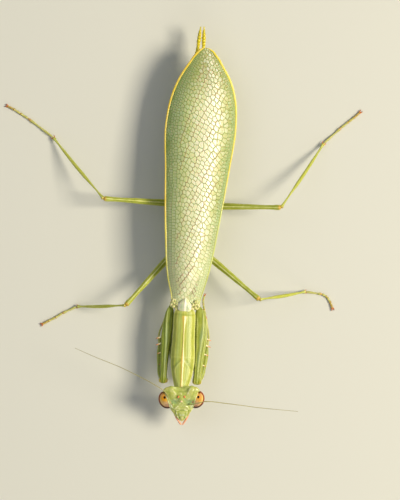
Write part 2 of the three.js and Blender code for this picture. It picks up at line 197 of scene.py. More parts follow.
def loft(rings, **tones):
    """A closed skin over rings (ring, corner, xyz), each end closed by a fan: its corners, faces and marks.

    Each tone is one number, or is told ring by ring, or corner by corner.
    """
    rings = np.asarray(rings, float)
    count, sides = rings.shape[:2]
    ends = rings[[0, -1]].mean(axis=1)
    corners = np.concatenate([rings.reshape(-1, 3), ends])
    faces = []
    for r in range(count - 1):
        for i in range(sides):
            j = (i + 1) % sides
            faces.append((r * sides + i, r * sides + j, (r + 1) * sides + j, (r + 1) * sides + i))
    last = (count - 1) * sides
    for i in range(sides):
        j = (i + 1) % sides
        faces.append((count * sides, j, i))
        faces.append((count * sides + 1, last + i, last + j))
    fans = np.array([(f[0], f[k], f[k + 1]) for f in faces for k in range(1, len(f) - 1)])
    a, b, c = (corners[fans[:, k]] for k in range(3))
    outward = np.sum(a * np.cross(b, c)) > 0
    marks = {}
    for name, tone in tones.items():
        tone = np.asarray(tone, float)
        grid = np.broadcast_to(tone if tone.ndim == 2 else tone.reshape(-1, 1), (count, sides))
        marks[name] = np.append(grid, (tone[0], tone[-1]) if tone.ndim == 1 else (0, 0))
    return corners, faces if outward else [f[::-1] for f in faces], marks


def turns(sides):
    return np.arange(sides) / sides * 2 * np.pi


def rounded(sides, power):
    """Once round a section between a circle, at power 2, and a rounded square."""
    cosine, sine = np.cos(turns(sides)), np.sin(turns(sides))
    return np.sign(cosine) * np.abs(cosine) ** (2 / power), np.sign(sine) * np.abs(sine) ** (2 / power)


def body_rings(y, half, middle, above, below, x=0.0, sides=48, power=2.3):
    """Rings across a body that runs along Y; every size may be one number or one for each ring."""
    y = np.asarray(y, float)[:, None]
    sizes = (half, middle, above, below, x)
    half, middle, above, below, x = (np.broadcast_to(v, len(y))[:, None] for v in sizes)
    across, rise = rounded(sides, power)
    z = middle + np.where(rise > 0, above, below) * rise
    return np.stack([x + half * across, np.broadcast_to(y, z.shape), z], axis=-1)


def layered(tree, colour, *layers):
    """Lays shades over a colour.

    Each layer is a shade and its share, or a shade, what it follows, from where to where, and how far.
    """
    colour = linear(colour) if isinstance(colour, str) else colour
    for shade, share, *span in layers:
        if span:
            start, full, most, easing = (*span, "LINEAR")[:4]
            inputs = {"Value": share, "From Min": start, "From Max": full, "To Max": most}
            share = add_node(tree, "ShaderNodeMapRange", inputs, interpolation_type=easing).outputs[0]
        shade = linear(shade) if isinstance(shade, str) else shade
        mixed = add_node(tree, "ShaderNodeMix", {"Factor": share, "A": colour, "B": shade}, data_type="RGBA")
        colour = mixed.outputs["Result"]
    return colour


def set_stops(ramp, *stops):
    """Gives a ramp its positions and their colours."""
    elements = ramp.color_ramp.elements
    while len(elements) < len(stops):
        elements.new(0.5)
    for element, (position, colour) in zip(elements, stops):
        element.position, element.color = position, linear(colour)


def carried(place, corners):
    """Corners moved from a part's own layout into the insect's, by a matrix in millimetres."""
    corners = np.asarray(corners, float)
    turned = corners.reshape(-1, 3) @ np.array(place.to_3x3()).T + np.array(place.translation)
    return turned.reshape(corners.shape)


def ellipsoid(at, radii, turn=0.0, rows=24, sides=32, **marks):
    """The skin of an ellipsoid, turned about Z."""
    rise = np.linspace(-np.pi / 2, np.pi / 2, rows + 2)[1:-1]
    around = turns(sides)
    unit = np.stack([np.outer(np.cos(rise), np.cos(around)), np.outer(np.cos(rise), np.sin(around)),
                     np.outer(np.sin(rise), np.ones(sides))], axis=-1)
    corners, faces, _ = loft(unit)
    corners[-2:] = ((0, 0, -1), (0, 0, 1))
    place = Matrix.Translation(at) @ Matrix.Rotation(turn, 4, "Z")
    return carried(place, corners * np.array(radii)), faces, marks


def merged(*skins):
    """Several skins as one, where a mark that one of them lacks is 0."""
    faces, start = [], 0
    for corners, own_faces, _ in skins:
        faces += [tuple(i + start for i in face) for face in own_faces]
        start += len(corners)
    marks = {}
    for name in sorted({name for skin in skins for name in skin[2]}):
        values = [(skin[2].get(name, 0.0), len(skin[0])) for skin in skins]
        values = [value if np.ndim(value) else np.full(count, value) for value, count in values]
        marks[name] = np.concatenate(values)
    return np.concatenate([skin[0] for skin in skins]), faces, marks


def cuticle(name, plain, pale, dark, warm="#d9a04a", cool="#86b08a", pattern_mm=0.35, grain_mm=0.05,
            roughness=0.42, coat=0.15, stretch=1.0):
    """Living insect cuticle: clouded colour with fine grain, a waxy shine, and light that soaks in a little.

    The mark 'tint' moves the colour from dark (-1) over plain (0) to pale (1), and 'warmth' moves it towards
    the cool colour (-1) or the warm one (1). stretch draws the clouds out along the body.
    """
    material, tree, shader = new_finish(name)
    place = add_node(tree, "ShaderNodeTexCoord").outputs["Object"]
    drawn = add_node(tree, "ShaderNodeMapping", {"Vector": place, "Scale": (1, 1 / stretch, 1)}).outputs[0]
    cloud = add_node(tree, "ShaderNodeTexNoise",
                     {"Vector": drawn, "Scale": 1 / (pattern_mm * MM), "Detail": 4, "Roughness": 0.6})
    grain = add_node(tree, "ShaderNodeTexVoronoi", {"Vector": place, "Scale": 1 / (grain_mm * MM)})
    tint = add_node(tree, "ShaderNodeAttribute", attribute_name="tint").outputs["Fac"]
    sway = add_node(tree, "ShaderNodeMath", {0: cloud.outputs["Fac"], 1: 1.7, 2: -0.85},
                    operation="MULTIPLY_ADD")
    level = add_node(tree, "ShaderNodeMath", {0: tint, 1: sway.outputs[0]}, operation="ADD")
    share = add_node(tree, "ShaderNodeMapRange", {"Value": level.outputs[0], "From Min": -1, "From Max": 1})
    ramp = add_node(tree, "ShaderNodeValToRGB", {"Fac": share.outputs[0]})
    set_stops(ramp, (0, dark), (0.5, plain), (1, pale))
    warmth = add_node(tree, "ShaderNodeAttribute", attribute_name="warmth").outputs["Fac"]
    colour = ramp.outputs["Color"]
    for way, shade in ((-1, cool), (1, warm)):
        share = add_node(tree, "ShaderNodeMath", {0: warmth, 1: way}, operation="MULTIPLY", use_clamp=True)
        colour = layered(tree, colour, (shade, share.outputs[0]))
    bump = add_node(tree, "ShaderNodeBump",
                    {"Height": grain.outputs["Distance"], "Strength": 0.25, "Distance": 0.004 * MM})
    shine = add_node(tree, "ShaderNodeMapRange",
                     {"Value": cloud.outputs["Fac"], "To Min": roughness - 0.08, "To Max": roughness + 0.1})
    set_inputs(shader, {"Base Color": colour, "Roughness": shine.outputs[0], "Normal": bump.outputs["Normal"],
                        "IOR": 1.5, "Subsurface Weight": 0.2, "Subsurface Scale": 0.25 * MM,
                        "Subsurface Radius": (0.8, 1, 0.35), "Coat Weight": coat, "Coat Roughness": 0.3})
    return material


soft_cuticle = cuticle("soft_pale_cuticle", "#b7c07a", "#dcdcae", "#8fa052")
thorax_half = through((-0.5, 0.45), (0.3, 0.72), (1.4, 1.02), (4, 1.2), (6.9, 1.05))
thorax_top = through((-0.5, 3.3), (0.4, 3.36), (3.2, 3.3), (3.6, 3.06), (6.9, 3.0))
thorax_floor = through((-0.5, 2.75), (-0.1, 2.4), (0.5, 1.95), (1.2, 1.6), (2.2, 1.45), (6, 1.45), (6.9, 1.6))
THORAX_SIDES = 48
for name, start, end, node in (("middle_thorax", -0.45, 3.3, "mesothorax"),
                               ("hind_thorax", 3.3, 6.9, "metathorax")):
    y = np.linspace(start, end, 30)
    share = (y - start) / (end - start)
    swell = 1 - 0.05 * np.cos(share * 2 * np.pi) ** 2
    pinch = np.minimum(1, 0.55 + 4.5 * np.minimum(share, 1 - share))
    middle, high = (thorax_top(y) + thorax_floor(y)) / 2, (thorax_top(y) - thorax_floor(y)) / 2
    rings = body_rings(y, thorax_half(y) * swell * pinch**0.5, middle, high * pinch**0.3, high * pinch**0.5,
                       sides=THORAX_SIDES)
    top = np.sin(turns(THORAX_SIDES))
    groove = 2 * share[:, None] + 0.45 * top
    tint = 0.3 * top - 0.7 * bump_at(groove, 0.75, 0.05) - 0.7 * bump_at(groove, 1.35, 0.05)
    fit(add_piece(name, loft(rings, tint=tint), soft_cuticle), "soft_body", node)

scutellum_wax = cuticle("waxy_blue_green_cuticle", "#e6e5b6", "#fffce2", "#c2cc90", cool="#a8c0a0",
                        pattern_mm=0.3, roughness=0.35)
y = np.linspace(-0.72, 0.62, 60)
half = through((-0.72, 0.46), (-0.6, 0.56), (-0.25, 0.58), (0.0, 0.5), (0.2, 0.34), (0.42, 0.14),
               (0.62, 0.02))(y)
top = through((-0.72, 3.84), (-0.3, 3.93), (0.3, 3.88), (0.62, 3.74))(y)
rings = body_rings(y, half, 3.55, top - 3.55, 0.25, sides=72, power=2.4)
keel = bump_at(rings[..., 0], 0, 0.07) * np.clip((rings[..., 2] - 3.6) / 0.1, 0, 1)
keel = keel * np.clip((0.52 - rings[..., 1]) / 0.2, 0, 1)
rings[..., 2] += 0.08 * keel
side_share = np.abs(rings[..., 0]) / half[:, None]
tint = keel * 1.7 + 0.1 + 0.9 * bump_at(side_share, 0.88, 0.13)
warmth = -0.8 * bump_at(side_share, 0.45, 0.2) * bump_at(rings[..., 1], -0.35, 0.35) * (1 - keel)
fit(add_piece("scutellum", loft(rings, tint=tint, warmth=warmth), scutellum_wax), "soft_body")

# Small pale hinge plates join each fore wing to the side of the thorax.
hinge_cuticle = cuticle("pale_hinge_plate", "#d9d98a", "#fff6d4", "#b2b45c", warm="#e6bd98", pattern_mm=0.16)
# Each plate's middle, its half sizes and its turn in plan.
HINGE_PLATES = (
    ((0.98, -0.14, 3.16), (0.36, 0.42, 0.2), 15),
    ((0.72, -0.5, 3.4), (0.14, 0.22, 0.16), 24),
    ((0.72, -0.12, 3.54), (0.09, 0.17, 0.1), -12),
    ((0.96, -0.34, 3.36), (0.19, 0.14, 0.14), -30),
    ((0.92, -0.08, 3.5), (0.16, 0.11, 0.1), 30),
    ((1.16, -0.14, 3.38), (0.12, 0.22, 0.12), 35),
    ((1.06, 0.14, 3.5), (0.11, 0.22, 0.1), 12),
    ((0.9, 0.2, 3.52), (0.08, 0.16, 0.09), -20),
)
SIDES = ((-1, "right"), (1, "left"))
for side, word in SIDES:
    plates = merged(*(ellipsoid(np.array(at) * (side, 1, 1), radii, math.radians(turn * side),
                                rows=16, sides=26)
                      for at, radii, turn in HINGE_PLATES))
    tone = 0.6 * np.sin(plates[0][:, 0] * 15) * np.sin(plates[0][:, 1] * 17)
    plates[2].update(tint=tone, warmth=0.6 * tone)
    fit(add_piece("wing_hinge_" + word, plates, hinge_cuticle), "soft_body")

# ---- prothorax ----
# The long shield behind the head, hard green cuticle with a raised pale keel along it, a furrow like an
# arrowhead behind its narrow front part, and a thin pale rim. Its underside is one piece with it.
SHIELD_LENGTH = 7.04
SHIELD_MIDDLE = 3.4
prothorax_place = Matrix.Translation((0.03, -0.58, 0)) @ Matrix.Rotation(math.radians(2), 4, "Z")
shield_half = through((-SHIELD_LENGTH, 0.34), (-6.92, 0.49), (-6.66, 0.61), (-6.28, 0.71), (-5.82, 0.83),
                      (-5.36, 0.91), (-4.9, 0.98), (-4.1, 1.01), (-2.9, 0.95), (-2, 0.92), (-0.7, 0.91),
                      (-0.35, 0.88), (-0.12, 0.78), (0, 0.6))
shield_top = through((-SHIELD_LENGTH, 0.46), (-6.85, 0.57), (-6.2, 0.62), (-5, 0.64), (-3.8, 0.62),
                     (-1, 0.54), (-0.3, 0.46), (0, 0.3))
arrow = through((-6.5, 0.5), (-5.8, 0.68), (-5.09, 0.6), (-4.83, 0.38), (-4.5, 0.1), (-4.3, 0))
y = SHIELD_LENGTH * (np.linspace(0, 1, 170) ** 0.9 - 1)
shield_depth = through((-SHIELD_LENGTH, 0.3), (-6.7, 0.4), (-4.5, 0.56), (-0.8, 0.5), (0, 0.35))
rings = body_rings(y, shield_half(y), SHIELD_MIDDLE, shield_top(y), shield_depth(y), sides=144, power=2.1)
share_across = rings[..., 0] / shield_half(y)[:, None]
out, back = np.abs(share_across), rings[..., 1]
upper = np.clip((rings[..., 2] - SHIELD_MIDDLE) / 0.2, 0, 1)
keel_half = through((-6.5, 0.08), (-4.9, 0.1), (-4.5, 0.13), (-4.2, 0.1), (-1, 0.115), (-0.65, 0.17))(back)
keel_run = np.clip((back + 6.85) / 0.12, 0, 1) * np.clip((-0.5 - back) / 0.12, 0, 1)
keel = bump_at(rings[..., 0], 0, keel_half) * upper * keel_run
front_part = np.clip((-4.3 - back) / 0.15, 0, 1) * np.clip((back + 6.6) / 0.4, 0, 1) * upper
ridge = bump_at(out, arrow(back), 0.09) * front_part
hollow = bump_at(out, arrow(back) + 0.22, 0.16) * front_part * np.clip((back + 5.6) / 0.5, 0, 1)
cross_band = bump_at(back, -4.2, 0.07) * upper
rim = bump_at(out, 1.0, 0.05) * bump_at(rings[..., 2], SHIELD_MIDDLE, 0.16)
gutter = bump_at(out, 0.86, 0.07) * upper
pleat = np.cos(share_across * 26) * upper * (out < 0.8)
tail_fold = bump_at(back, -0.42, 0.07) * upper
rings[..., 2] += (0.06 * keel + 0.02 * ridge - 0.025 * hollow + 0.015 * cross_band - 0.03 * gutter
                  + 0.005 * pleat - 0.03 * tail_fold)
rings[..., 0] += 0.06 * np.sign(rings[..., 0]) * rim
tint = (-0.3 * (1 - upper) + 1.4 * rim + 0.1 * pleat - 0.5 * hollow + 0.5 * ridge
        + 0.3 * cross_band - 0.35 * gutter + 0.45 * bump_at(back, -0.15, 0.2) * upper - 0.3 * tail_fold
        + 0.55 * bump_at(back, -6.8, 0.25) * upper + 0.15 * bump_at(share_across, 0.5, 0.14) * upper)
shield = loft(rings, tint=np.clip(tint, -1, 1.3), keel=keel, side=rings[..., 0],
              warmth=-0.35 * bump_at(out, 0.45, 0.2) * upper)

shield_cuticle = cuticle("hard_green_shield", "#bec24c", "#dfe090", "#84932a", cool="#9fbf7a",
                         pattern_mm=0.22, roughness=0.46, stretch=4.0)
# The raised keel is creamy on the left and golden on the right.
tree, shader = shield_cuticle.node_tree, shield_cuticle.node_tree.nodes["Principled BSDF"]
keel_mark, from_middle = (add_node(tree, "ShaderNodeAttribute", attribute_name=mark).outputs["Fac"]
                          for mark in ("keel", "side"))
stripe = layered(tree, "#f9eeb0", ("#f1cd54", from_middle, 0.03, -0.05, 1))
under = shader.inputs["Base Color"].links[0].from_socket
set_inputs(shader, {"Base Color": layered(tree, under, (stripe, keel_mark, 0.12, 0.45, 1))})
fit(add_piece("prothorax_shield", shield, shield_cuticle, prothorax_place), "body", "prothorax")

# ---- head ----
# A flat-faced capsule of hard green cuticle, hung from the neck with the mouth forward and down. Ridges,
# furrows and the hollows of the feelers are pressed into it, the three simple eyes sit on it, and the lip is
# hinged at its tip.
head_place = (prothorax_place @ Matrix.Translation((0, -6.85, 4.15))
              @ Matrix.Rotation(math.radians(3.2), 4, "Z") @ Matrix.Rotation(math.radians(27), 4, "X"))
EYE_AT = np.array((1.32, -1.36, -0.3))
EYE_RADII = np.array((0.7, 0.84, 0.64))
EYE_TURN = math.radians(20)
EYE_MARGIN = np.array(((1.55, -0.44), (1.02, -1.92)))  # where the eye leaves the face, from crown to cheek
margin_way = (EYE_MARGIN[1] - EYE_MARGIN[0]) / np.linalg.norm(EYE_MARGIN[1] - EYE_MARGIN[0])
margin_out = np.array((-margin_way[1], margin_way[0]))


def eye_height(x, y):
    """The height of the eye's upper surface in the head's own layout, on the side of positive x."""
    dx, dy = x - EYE_AT[0], y - EYE_AT[1]
    across = dx * math.cos(EYE_TURN) - dy * math.sin(EYE_TURN)
    along = dx * math.sin(EYE_TURN) + dy * math.cos(EYE_TURN)
    room = 1 - (across / EYE_RADII[0]) ** 2 - (along / EYE_RADII[1]) ** 2
    return EYE_AT[2] + EYE_RADII[2] * np.sqrt(np.clip(room, 0, 1))


def mound(x, y, at, reach):
    """A rounded rise, 1 at its middle."""
    return bump_at(x, at[0], reach[0]) * bump_at(y, at[1], reach[1])


def ridge(x, y, start, end, reach):
    """A rounded ridge along a straight line, 1 at its middle and lower to its ends."""
    way = np.array(end, float) - start
    share = np.clip(((x - start[0]) * way[0] + (y - start[1]) * way[1]) / (way @ way), 0, 1)
    distance = np.hypot(x - start[0] - share * way[0], y - start[1] - share * way[1])
    return bump_at(distance, 0, reach) * (0.4 + 0.6 * np.sin(np.pi * np.clip(share, 0.15, 0.85)))


# Each rise on one half of the face: kind, place or places and reach, height, or depth where it is below zero,
# and how far it turns pale and warm. The paleness is partly the face's own marks and partly painted light:
# painted highlights on the rises and painted shade in the hollows.
FACE_RELIEF = (
    (mound, ((0, -0.84), (0.34, 0.32)), 0.11, 0.1, 0.05),  # boss of the simple eyes
    (ridge, ((0, -0.18), (0, -0.42), 0.06), 0.02, 0.5, 0.1),
    (mound, ((0.275, -0.68), (0.14, 0.18)), -0.02, -0.35, -0.1),
    (ridge, ((0.25, -0.86), (0.36, -1.1), 0.06), -0.03, -0.3, -0.5),
    (mound, ((0.9, -0.38), (0.34, 0.28)), 0.055, 0.02, 0.12),  # crown
    (ridge, ((0.52, 0.03), (0.4, -0.55), 0.07), -0.025, -0.2, 0),
    (ridge, ((0.72, -0.04), (0.5, -0.42), 0.09), 0.025, 0.5, 0.1),
    (ridge, ((1.14, -0.1), (1.0, -0.7), 0.07), -0.015, -0.3, 0),
    (mound, ((0.68, -1.3), (0.36, 0.26)), -0.08, -0.45, -0.5),  # hollows of the feelers
    (mound, ((0.62, -1.02), (0.13, 0.1)), 0.03, 0.5, -0.4),
    (ridge, ((0.05, -1.28), (0.28, -1.5), 0.06), 0.04, 0.4, 0),
    (ridge, ((1.0, -1.46), (0.84, -1.86), 0.055), 0.05, 1.2, -0.4),
    (ridge, ((0.26, -1.66), (0.52, -1.76), 0.06), 0.045, 0.5, 0.1),  # folds above the lip
    (ridge, ((0.0, -1.92), (0.56, -1.88), 0.06), 0.05, 0.35, 0.1),
    (ridge, ((0.22, -2.04), (0.5, -2.14), 0.05), 0.045, 0.6, 0.05),
    (ridge, ((0.0, -2.12), (0.34, -2.2), 0.05), -0.03, -0.35, 0),
    (ridge, ((0.46, -2.3), (0.45, -2.5), 0.05), 0.04, 0.8, -0.1),
    (ridge, ((0.5, -1.8), (0.68, -2.12), 0.06), 0.03, 0.3, 0.1),
    (mound, ((0.0, -2.45), (0.38, 0.3)), 0.07, 0.1, 0),
    (mound, ((0.15, -2.58), (0.13, 0.13)), 0.02, 0.5, -0.4),
    (ridge, ((0.28, -2.38), (0.3, -2.6), 0.06), -0.025, -0.35, 0),
    (ridge, ((0.0, -2.72), (0.4, -2.62), 0.04), -0.03, -0.35, 0.1),
    (mound, ((0.23, -2.9), (0.065, 0.08)), -0.06, -0.9, -0.1),
    (mound, ((0.36, -2.88), (0.06, 0.1)), 0.02, 0.7, 0),
    (mound, ((0.0, -2.95), (0.1, 0.25)), 0.035, 0.3, 0.15),
    (mound, ((0.65, -2.36), (0.1, 0.09)), -0.02, -0.3, 0.4),
    (ridge, ((0.62, -2.1), (0.42, -2.9), 0.055), -0.045, -0.45, 0.1),
    (ridge, ((0.52, -2.55), (0.3, -2.95), 0.05), 0.03, 0.45, 0.1),
    (ridge, ((0.9, -2.12), (0.58, -2.82), 0.06), 0.03, 0.3, 0.3),
)
head_half = through((-3.38, 0.06), (-3.3, 0.14), (-3.18, 0.26), (-2.98, 0.44), (-2.78, 0.6), (-2.48, 0.75),
                    (-2.32, 0.87), (-2.05, 1.03), (-1.88, 1.1), (-0.6, 1.64), (-0.42, 1.63), (-0.2, 1.56),
                    (-0.05, 1.44), (0.04, 1.3), (0.1, 1.0))
head_above = through((-3.38, 0.05), (-3.2, 0.14), (-2.6, 0.27), (-1.4, 0.34), (-0.4, 0.33), (-0.1, 0.25),
                     (0.1, 0.05))
head_below = through((-3.38, 0.08), (-3.0, 0.3), (-2.4, 0.55), (-1.2, 0.85), (-0.5, 0.68), (-0.1, 0.4),
                     (0.1, 0.1))
y = np.concatenate([np.linspace(-3.38, -0.25, 170, endpoint=False),
                    0.1 - 0.35 * np.linspace(1, 0, 30) ** 1.6])
rings = body_rings(y, head_half(y), 0, head_above(y), head_below(y), sides=220, power=2.35)
upper = np.clip(rings[..., 2] / 0.08, 0, 1)
x_side, y_face = np.abs(rings[..., 0]), rings[..., 1].copy()
RELIEF_GAIN = 1.25
lift, tint, warmth = (np.zeros_like(x_side) for _ in range(3))
for kind, place, height, pale_and_painted_light, warmer in FACE_RELIEF:
    shape = kind(x_side, y_face, *place)
    lift += RELIEF_GAIN * height * shape
    tint += RELIEF_GAIN * pale_and_painted_light * shape
    warmth += warmer * shape
beside = (x_side - EYE_MARGIN[0][0]) * margin_out[0] + (y_face - EYE_MARGIN[0][1]) * margin_out[1]
# The margin bows a little into the face.
beside = beside + 0.08 * np.clip(1 - ((y_face + 1.05) / 0.7) ** 2, 0, 1)
run = np.clip((y_face + 2.12) / 0.2, 0, 1) * np.clip((-0.34 - y_face) / 0.2, 0, 1)
rim_height = eye_height(x_side - beside * margin_out[0], y_face - beside * margin_out[1]) + 0.035
near = bump_at(np.minimum(beside, 0), 0, 0.13) * run * upper
raised = rings[..., 2] + lift * upper
raised = raised + (rim_height - raised) * near
raised -= np.clip(beside, 0, 0.3) * 2.2 * run * upper
rings[..., 2] = np.where(rings[..., 2] > 0, raised, rings[..., 2])
# Notch of the neck.
rings[..., 1] -= 0.3 * np.exp(-((x_side / 0.6) ** 4)) * np.clip((y_face + 0.6) / 0.6, 0, 1)
rings[..., 1] += 0.07 * bump_at(x_side, 0.92, 0.17) * np.clip((y_face + 0.25) / 0.3, 0, 1)
tint += 0.5 * bump_at(beside, -0.03, 0.05) * run
warmth += 0.45 * bump_at(y_face, 0.05, 0.12) * np.clip((x_side - 0.9) / 0.4, 0, 1) * upper
warmth += 0.5 * np.clip((-2.95 - y_face) / 0.35, 0, 1)
head = loft(rings, tint=tint, warmth=warmth)
head[2]["warmth"][-2] = 0.4  # the tip of the lip
head_cuticle = cuticle("hard_green_face", "#b4be5a", "#efefc4", "#7a9c3a", warm="#e3cc66", cool="#aacaa2",
                       pattern_mm=0.2, grain_mm=0.04, roughness=0.3, coat=0.35)
fit(add_piece("head_capsule", head, head_cuticle, head_place), "body", "head")


def face_height(x, y):
    """The height of the finished face near a place in the head's own layout."""
    top = rings[rings[..., 2] > 0]
    nearest = np.argsort(np.hypot(top[:, 0] - x, top[:, 1] - y))[:4]
    return float(top[nearest, 2].mean())


# The simple eyes are beads of clear orange cuticle, the middle one cream, each in a low green cup.
bead_glass = cuticle("orange_bead", "#eb8e56", "#fbd0aa", "#cc6236", pattern_mm=0.1, grain_mm=0.03,
                     roughness=0.12)
cream_glass = cuticle("cream_bead", "#f8dcb6", "#fff3da", "#edbd94", pattern_mm=0.1, grain_mm=0.03,
                      roughness=0.15)
# Each piece's beads, by their places on the face, then their lift, half sizes, turn outwards and finish.
for name, places, lift, radii, turn, glass in (
    ("side_simple_eyes", ((-0.275, -0.68), (0.275, -0.68)), 0.03, (0.085, 0.135, 0.095), 0.4, bead_glass),
    ("middle_simple_eye", ((0, -1.13),), 0.02, (0.1, 0.085, 0.07), 0, cream_glass),
):
    beads = (ellipsoid((x, y, face_height(x, y) + lift), radii, math.copysign(turn, x)) for x, y in places)
    fit(add_piece(name, merged(*beads), glass, head_place), "eye")

# ---- compound eyes ----
# Each is one bulging lens field of thousands of facets: amber towards the crown, cream outside and rosy
# below, with dusky specks. The cream is partly a painted highlight, and the left eye's amber is painted
# duller, as washed out by the light on it. A painted dark red band where it turns down, with a darker tan
# under it, stands in for the dark look of facets seen aslant, and a painted dark spot near the face stands
# in for the facets that look straight at the viewer.
eye_field, tree, shader = new_finish("faceted_amber_eye")
way = add_node(tree, "ShaderNodeAttribute", attribute_name="eye_way")
out, forward, facing = add_node(tree, "ShaderNodeSeparateXYZ", {0: way.outputs["Vector"]}).outputs
place = add_node(tree, "ShaderNodeTexCoord").outputs["Object"]
cloud = add_node(tree, "ShaderNodeTexNoise",
                 {"Vector": place, "Scale": 1 / (0.22 * MM), "Detail": 4, "Roughness": 0.65})
fleck = add_node(tree, "ShaderNodeTexNoise", {"Vector": place, "Scale": 1 / (0.06 * MM), "Detail": 2})
facet = add_node(tree, "ShaderNodeTexVoronoi", {"Vector": place, "Scale": 1 / (0.026 * MM)})
wander = add_node(tree, "ShaderNodeMath", {0: cloud.outputs["Fac"], 1: 0.6, 2: -0.3},
                  operation="MULTIPLY_ADD")
rise = add_node(tree, "ShaderNodeMath", {0: forward, 1: wander.outputs[0]}, operation="ADD")
rise = add_node(tree, "ShaderNodeMapRange", {"Value": rise.outputs[0], "From Min": -0.55, "From Max": 0.85})
ramp = add_node(tree, "ShaderNodeValToRGB", {"Fac": rise.outputs[0]})
set_stops(ramp, (0, "#b98767"), (0.22, "#cfa281"), (0.42, "#dcb587"), (0.6, "#e2b04a"), (0.82, "#e59d12"),
          (1, "#dca45c"))
# The cream on the outer slopes is partly the eye's own colour and partly a painted highlight.
golden = add_node(tree, "ShaderNodeMapRange",
                  {"Value": facing, "From Min": 0.92, "From Max": 0.7, "To Max": 0.8})
outer = add_node(tree, "ShaderNodeMapRange", {"Value": out, "From Min": 0.2, "From Max": 0.6})
golden = add_node(tree, "ShaderNodeMath", {0: golden.outputs[0], 1: outer.outputs[0]}, operation="MULTIPLY")
faded, spot = (add_node(tree, "ShaderNodeAttribute", attribute_name=mark).outputs["Fac"]
               for mark in ("faded", "spot"))
speck = add_node(tree, "ShaderNodeMapRange",
                 {"Value": fleck.outputs["Fac"], "From Min": 0.5, "From Max": 0.62, "To Max": 0.75})
lower = add_node(tree, "ShaderNodeMapRange", {"Value": forward, "From Min": 0.55, "From Max": -0.1})
speck = add_node(tree, "ShaderNodeMath", {0: speck.outputs[0], 1: lower.outputs[0]}, operation="MULTIPLY")
top_colour = layered(tree, ramp.outputs["Color"], ("#c9955c", faded), ("#f8dc84", golden.outputs[0]),
                     ("#6f4a3e", speck.outputs[0]))
# Painted shade: a dark red band where the eye turns down, darker at its bottom, and a darker tan below it.
painted_dark_rim = layered(tree, "#8a180c", ("#340d06", forward, 0.3, -0.5, 1))
painted_shaded_side = layered(tree, top_colour, ("#a06c48", 0.55))
colour = layered(tree, top_colour, (painted_dark_rim, facing, 0.67, 0.56, 1, "SMOOTHSTEP"),
                 (painted_shaded_side, facing, 0.36, 0.12, 1), ("#d98f14", spot, 2.3, 1.0, 0.5),
                 ("#070504", spot, 1.1, 0.9, 1))
facet_bump = add_node(tree, "ShaderNodeBump",
                      {"Height": facet.outputs["Distance"], "Strength": 0.12, "Distance": 0.003 * MM},
                      invert=True)
set_inputs(shader, {"Base Color": colour, "Normal": facet_bump.outputs["Normal"], "Roughness": 0.4,
                    "IOR": 1.18, "Coat Weight": 0.05, "Coat Roughness": 0.1})
# A painted dark spot with an orange halo, fixed in place: it stands in for the dark spot of facets that look
# straight at the viewer, which in life moves with the view.
SPOT_AT = np.array((1.48, -0.86))
SPOT_RADIUS = 0.105
unit = ellipsoid((0, 0, 0), (1, 1, 1), rows=70, sides=110)[0]
for side, word in SIDES:
    field = ellipsoid(EYE_AT * (side, 1, 1), EYE_RADII, -EYE_TURN * side, rows=70, sides=110)
    corners = field[0]
    from_spot = np.hypot(corners[:, 0] * side - SPOT_AT[0], corners[:, 1] - SPOT_AT[1]) / SPOT_RADIUS
    from_spot = np.where(unit[:, 2] > 0, from_spot, 9)
    turning = np.array((head_place @ Matrix.Rotation(-EYE_TURN * side, 4, "Z")).to_3x3())
    outward = unit / EYE_RADII
    facing = (outward / np.linalg.norm(outward, axis=1)[:, None]) @ turning.T[:, 2]
    # Painted light: the left eye's amber is washed towards a dull tan, as by the light falling on it.
    faded = 0.5 * (side > 0) * np.clip(unit[:, 1] + 0.3, 0, 1)  # the left eye's amber is the duller one
    eye_way = np.stack([unit[:, 0] * side, unit[:, 1], facing], axis=-1)
    field[2].update(eye_way=eye_way, spot=from_spot, faded=faded)
    fit(add_piece("compound_eye_" + word, field, eye_field, head_place), "eye", "eye_" + word)

# ---- feelers ----
# Long threads of many short rings, each a small cup that fits over the one before, on two thicker joints that
# sit in green hollows of the face. They are as thin as hairs towards the tip.


def path_through(points, count):
    """A smooth path through a few points, with that many steps of about equal length."""
    points = np.asarray(points, float)
    lengths = np.concatenate([[0], np.cumsum(np.linalg.norm(np.diff(points, axis=0), axis=1))])
    places = np.linspace(0, lengths[-1], count)
    return np.stack([through(*zip(lengths, points[:, k]))(places) for k in range(3)], axis=-1)


def unit_way(way):
    way = np.asarray(way, float)
    return way / np.linalg.norm(way, axis=-1, keepdims=True)


def limb(path, girth, flat=1.0, sides=24, power=2.0, up=(0, 0, 1), relief=None, **tones):
    """A closed skin round a path, with its marks; each ring starts on the path's left.

    girth is the half width: (run, size) pairs, or told ring by ring or corner by corner. flat is the height
    to it. Each tone is a number, or a function of run, aside and top. relief raises the skin by such a one.
    """
    count = len(path)
    run = np.linspace(0, 1, count)
    girth = through(*girth)(run) if isinstance(girth, tuple) else girth
    half = girth.reshape(count, -1, 1)
    along = unit_way(np.gradient(path, axis=0))
    left = unit_way(np.cross(up, along))
    over = np.cross(along, left)
    cosine, sine = (wave[:, None] for wave in rounded(sides, power))
    rings = path[:, None] + half * (left[:, None] * cosine
                                    + over[:, None] * np.reshape(flat, (-1, 1, 1)) * sine)
    corners, faces, _ = loft(rings)
    run = np.append(np.repeat(run, sides), (0, 1))
    angle = np.append(np.tile(turns(sides), count), (0, 0))
    told = {name: tone(run, np.cos(angle), np.sin(angle)) if callable(tone) else tone
            for name, tone in tones.items()}
    if relief:
        corners[:, 2] += relief(run, np.cos(angle), np.sin(angle))
    return corners, faces, told


def node_group(name, *inputs):
    """An empty Geometry Nodes group that takes a geometry and the named inputs, each with its socket kind."""
    group = bpy.data.node_groups.new(name, "GeometryNodeTree")
    for label, kind in (("Geometry", "Geometry"), *inputs):
        group.interface.new_socket(label, in_out="INPUT", socket_type="NodeSocket" + kind)
    group.interface.new_socket("Geometry", in_out="OUTPUT", socket_type="NodeSocketGeometry")
    return group, add_node(group, "NodeGroupInput").outputs, add_node(group, "NodeGroupOutput")


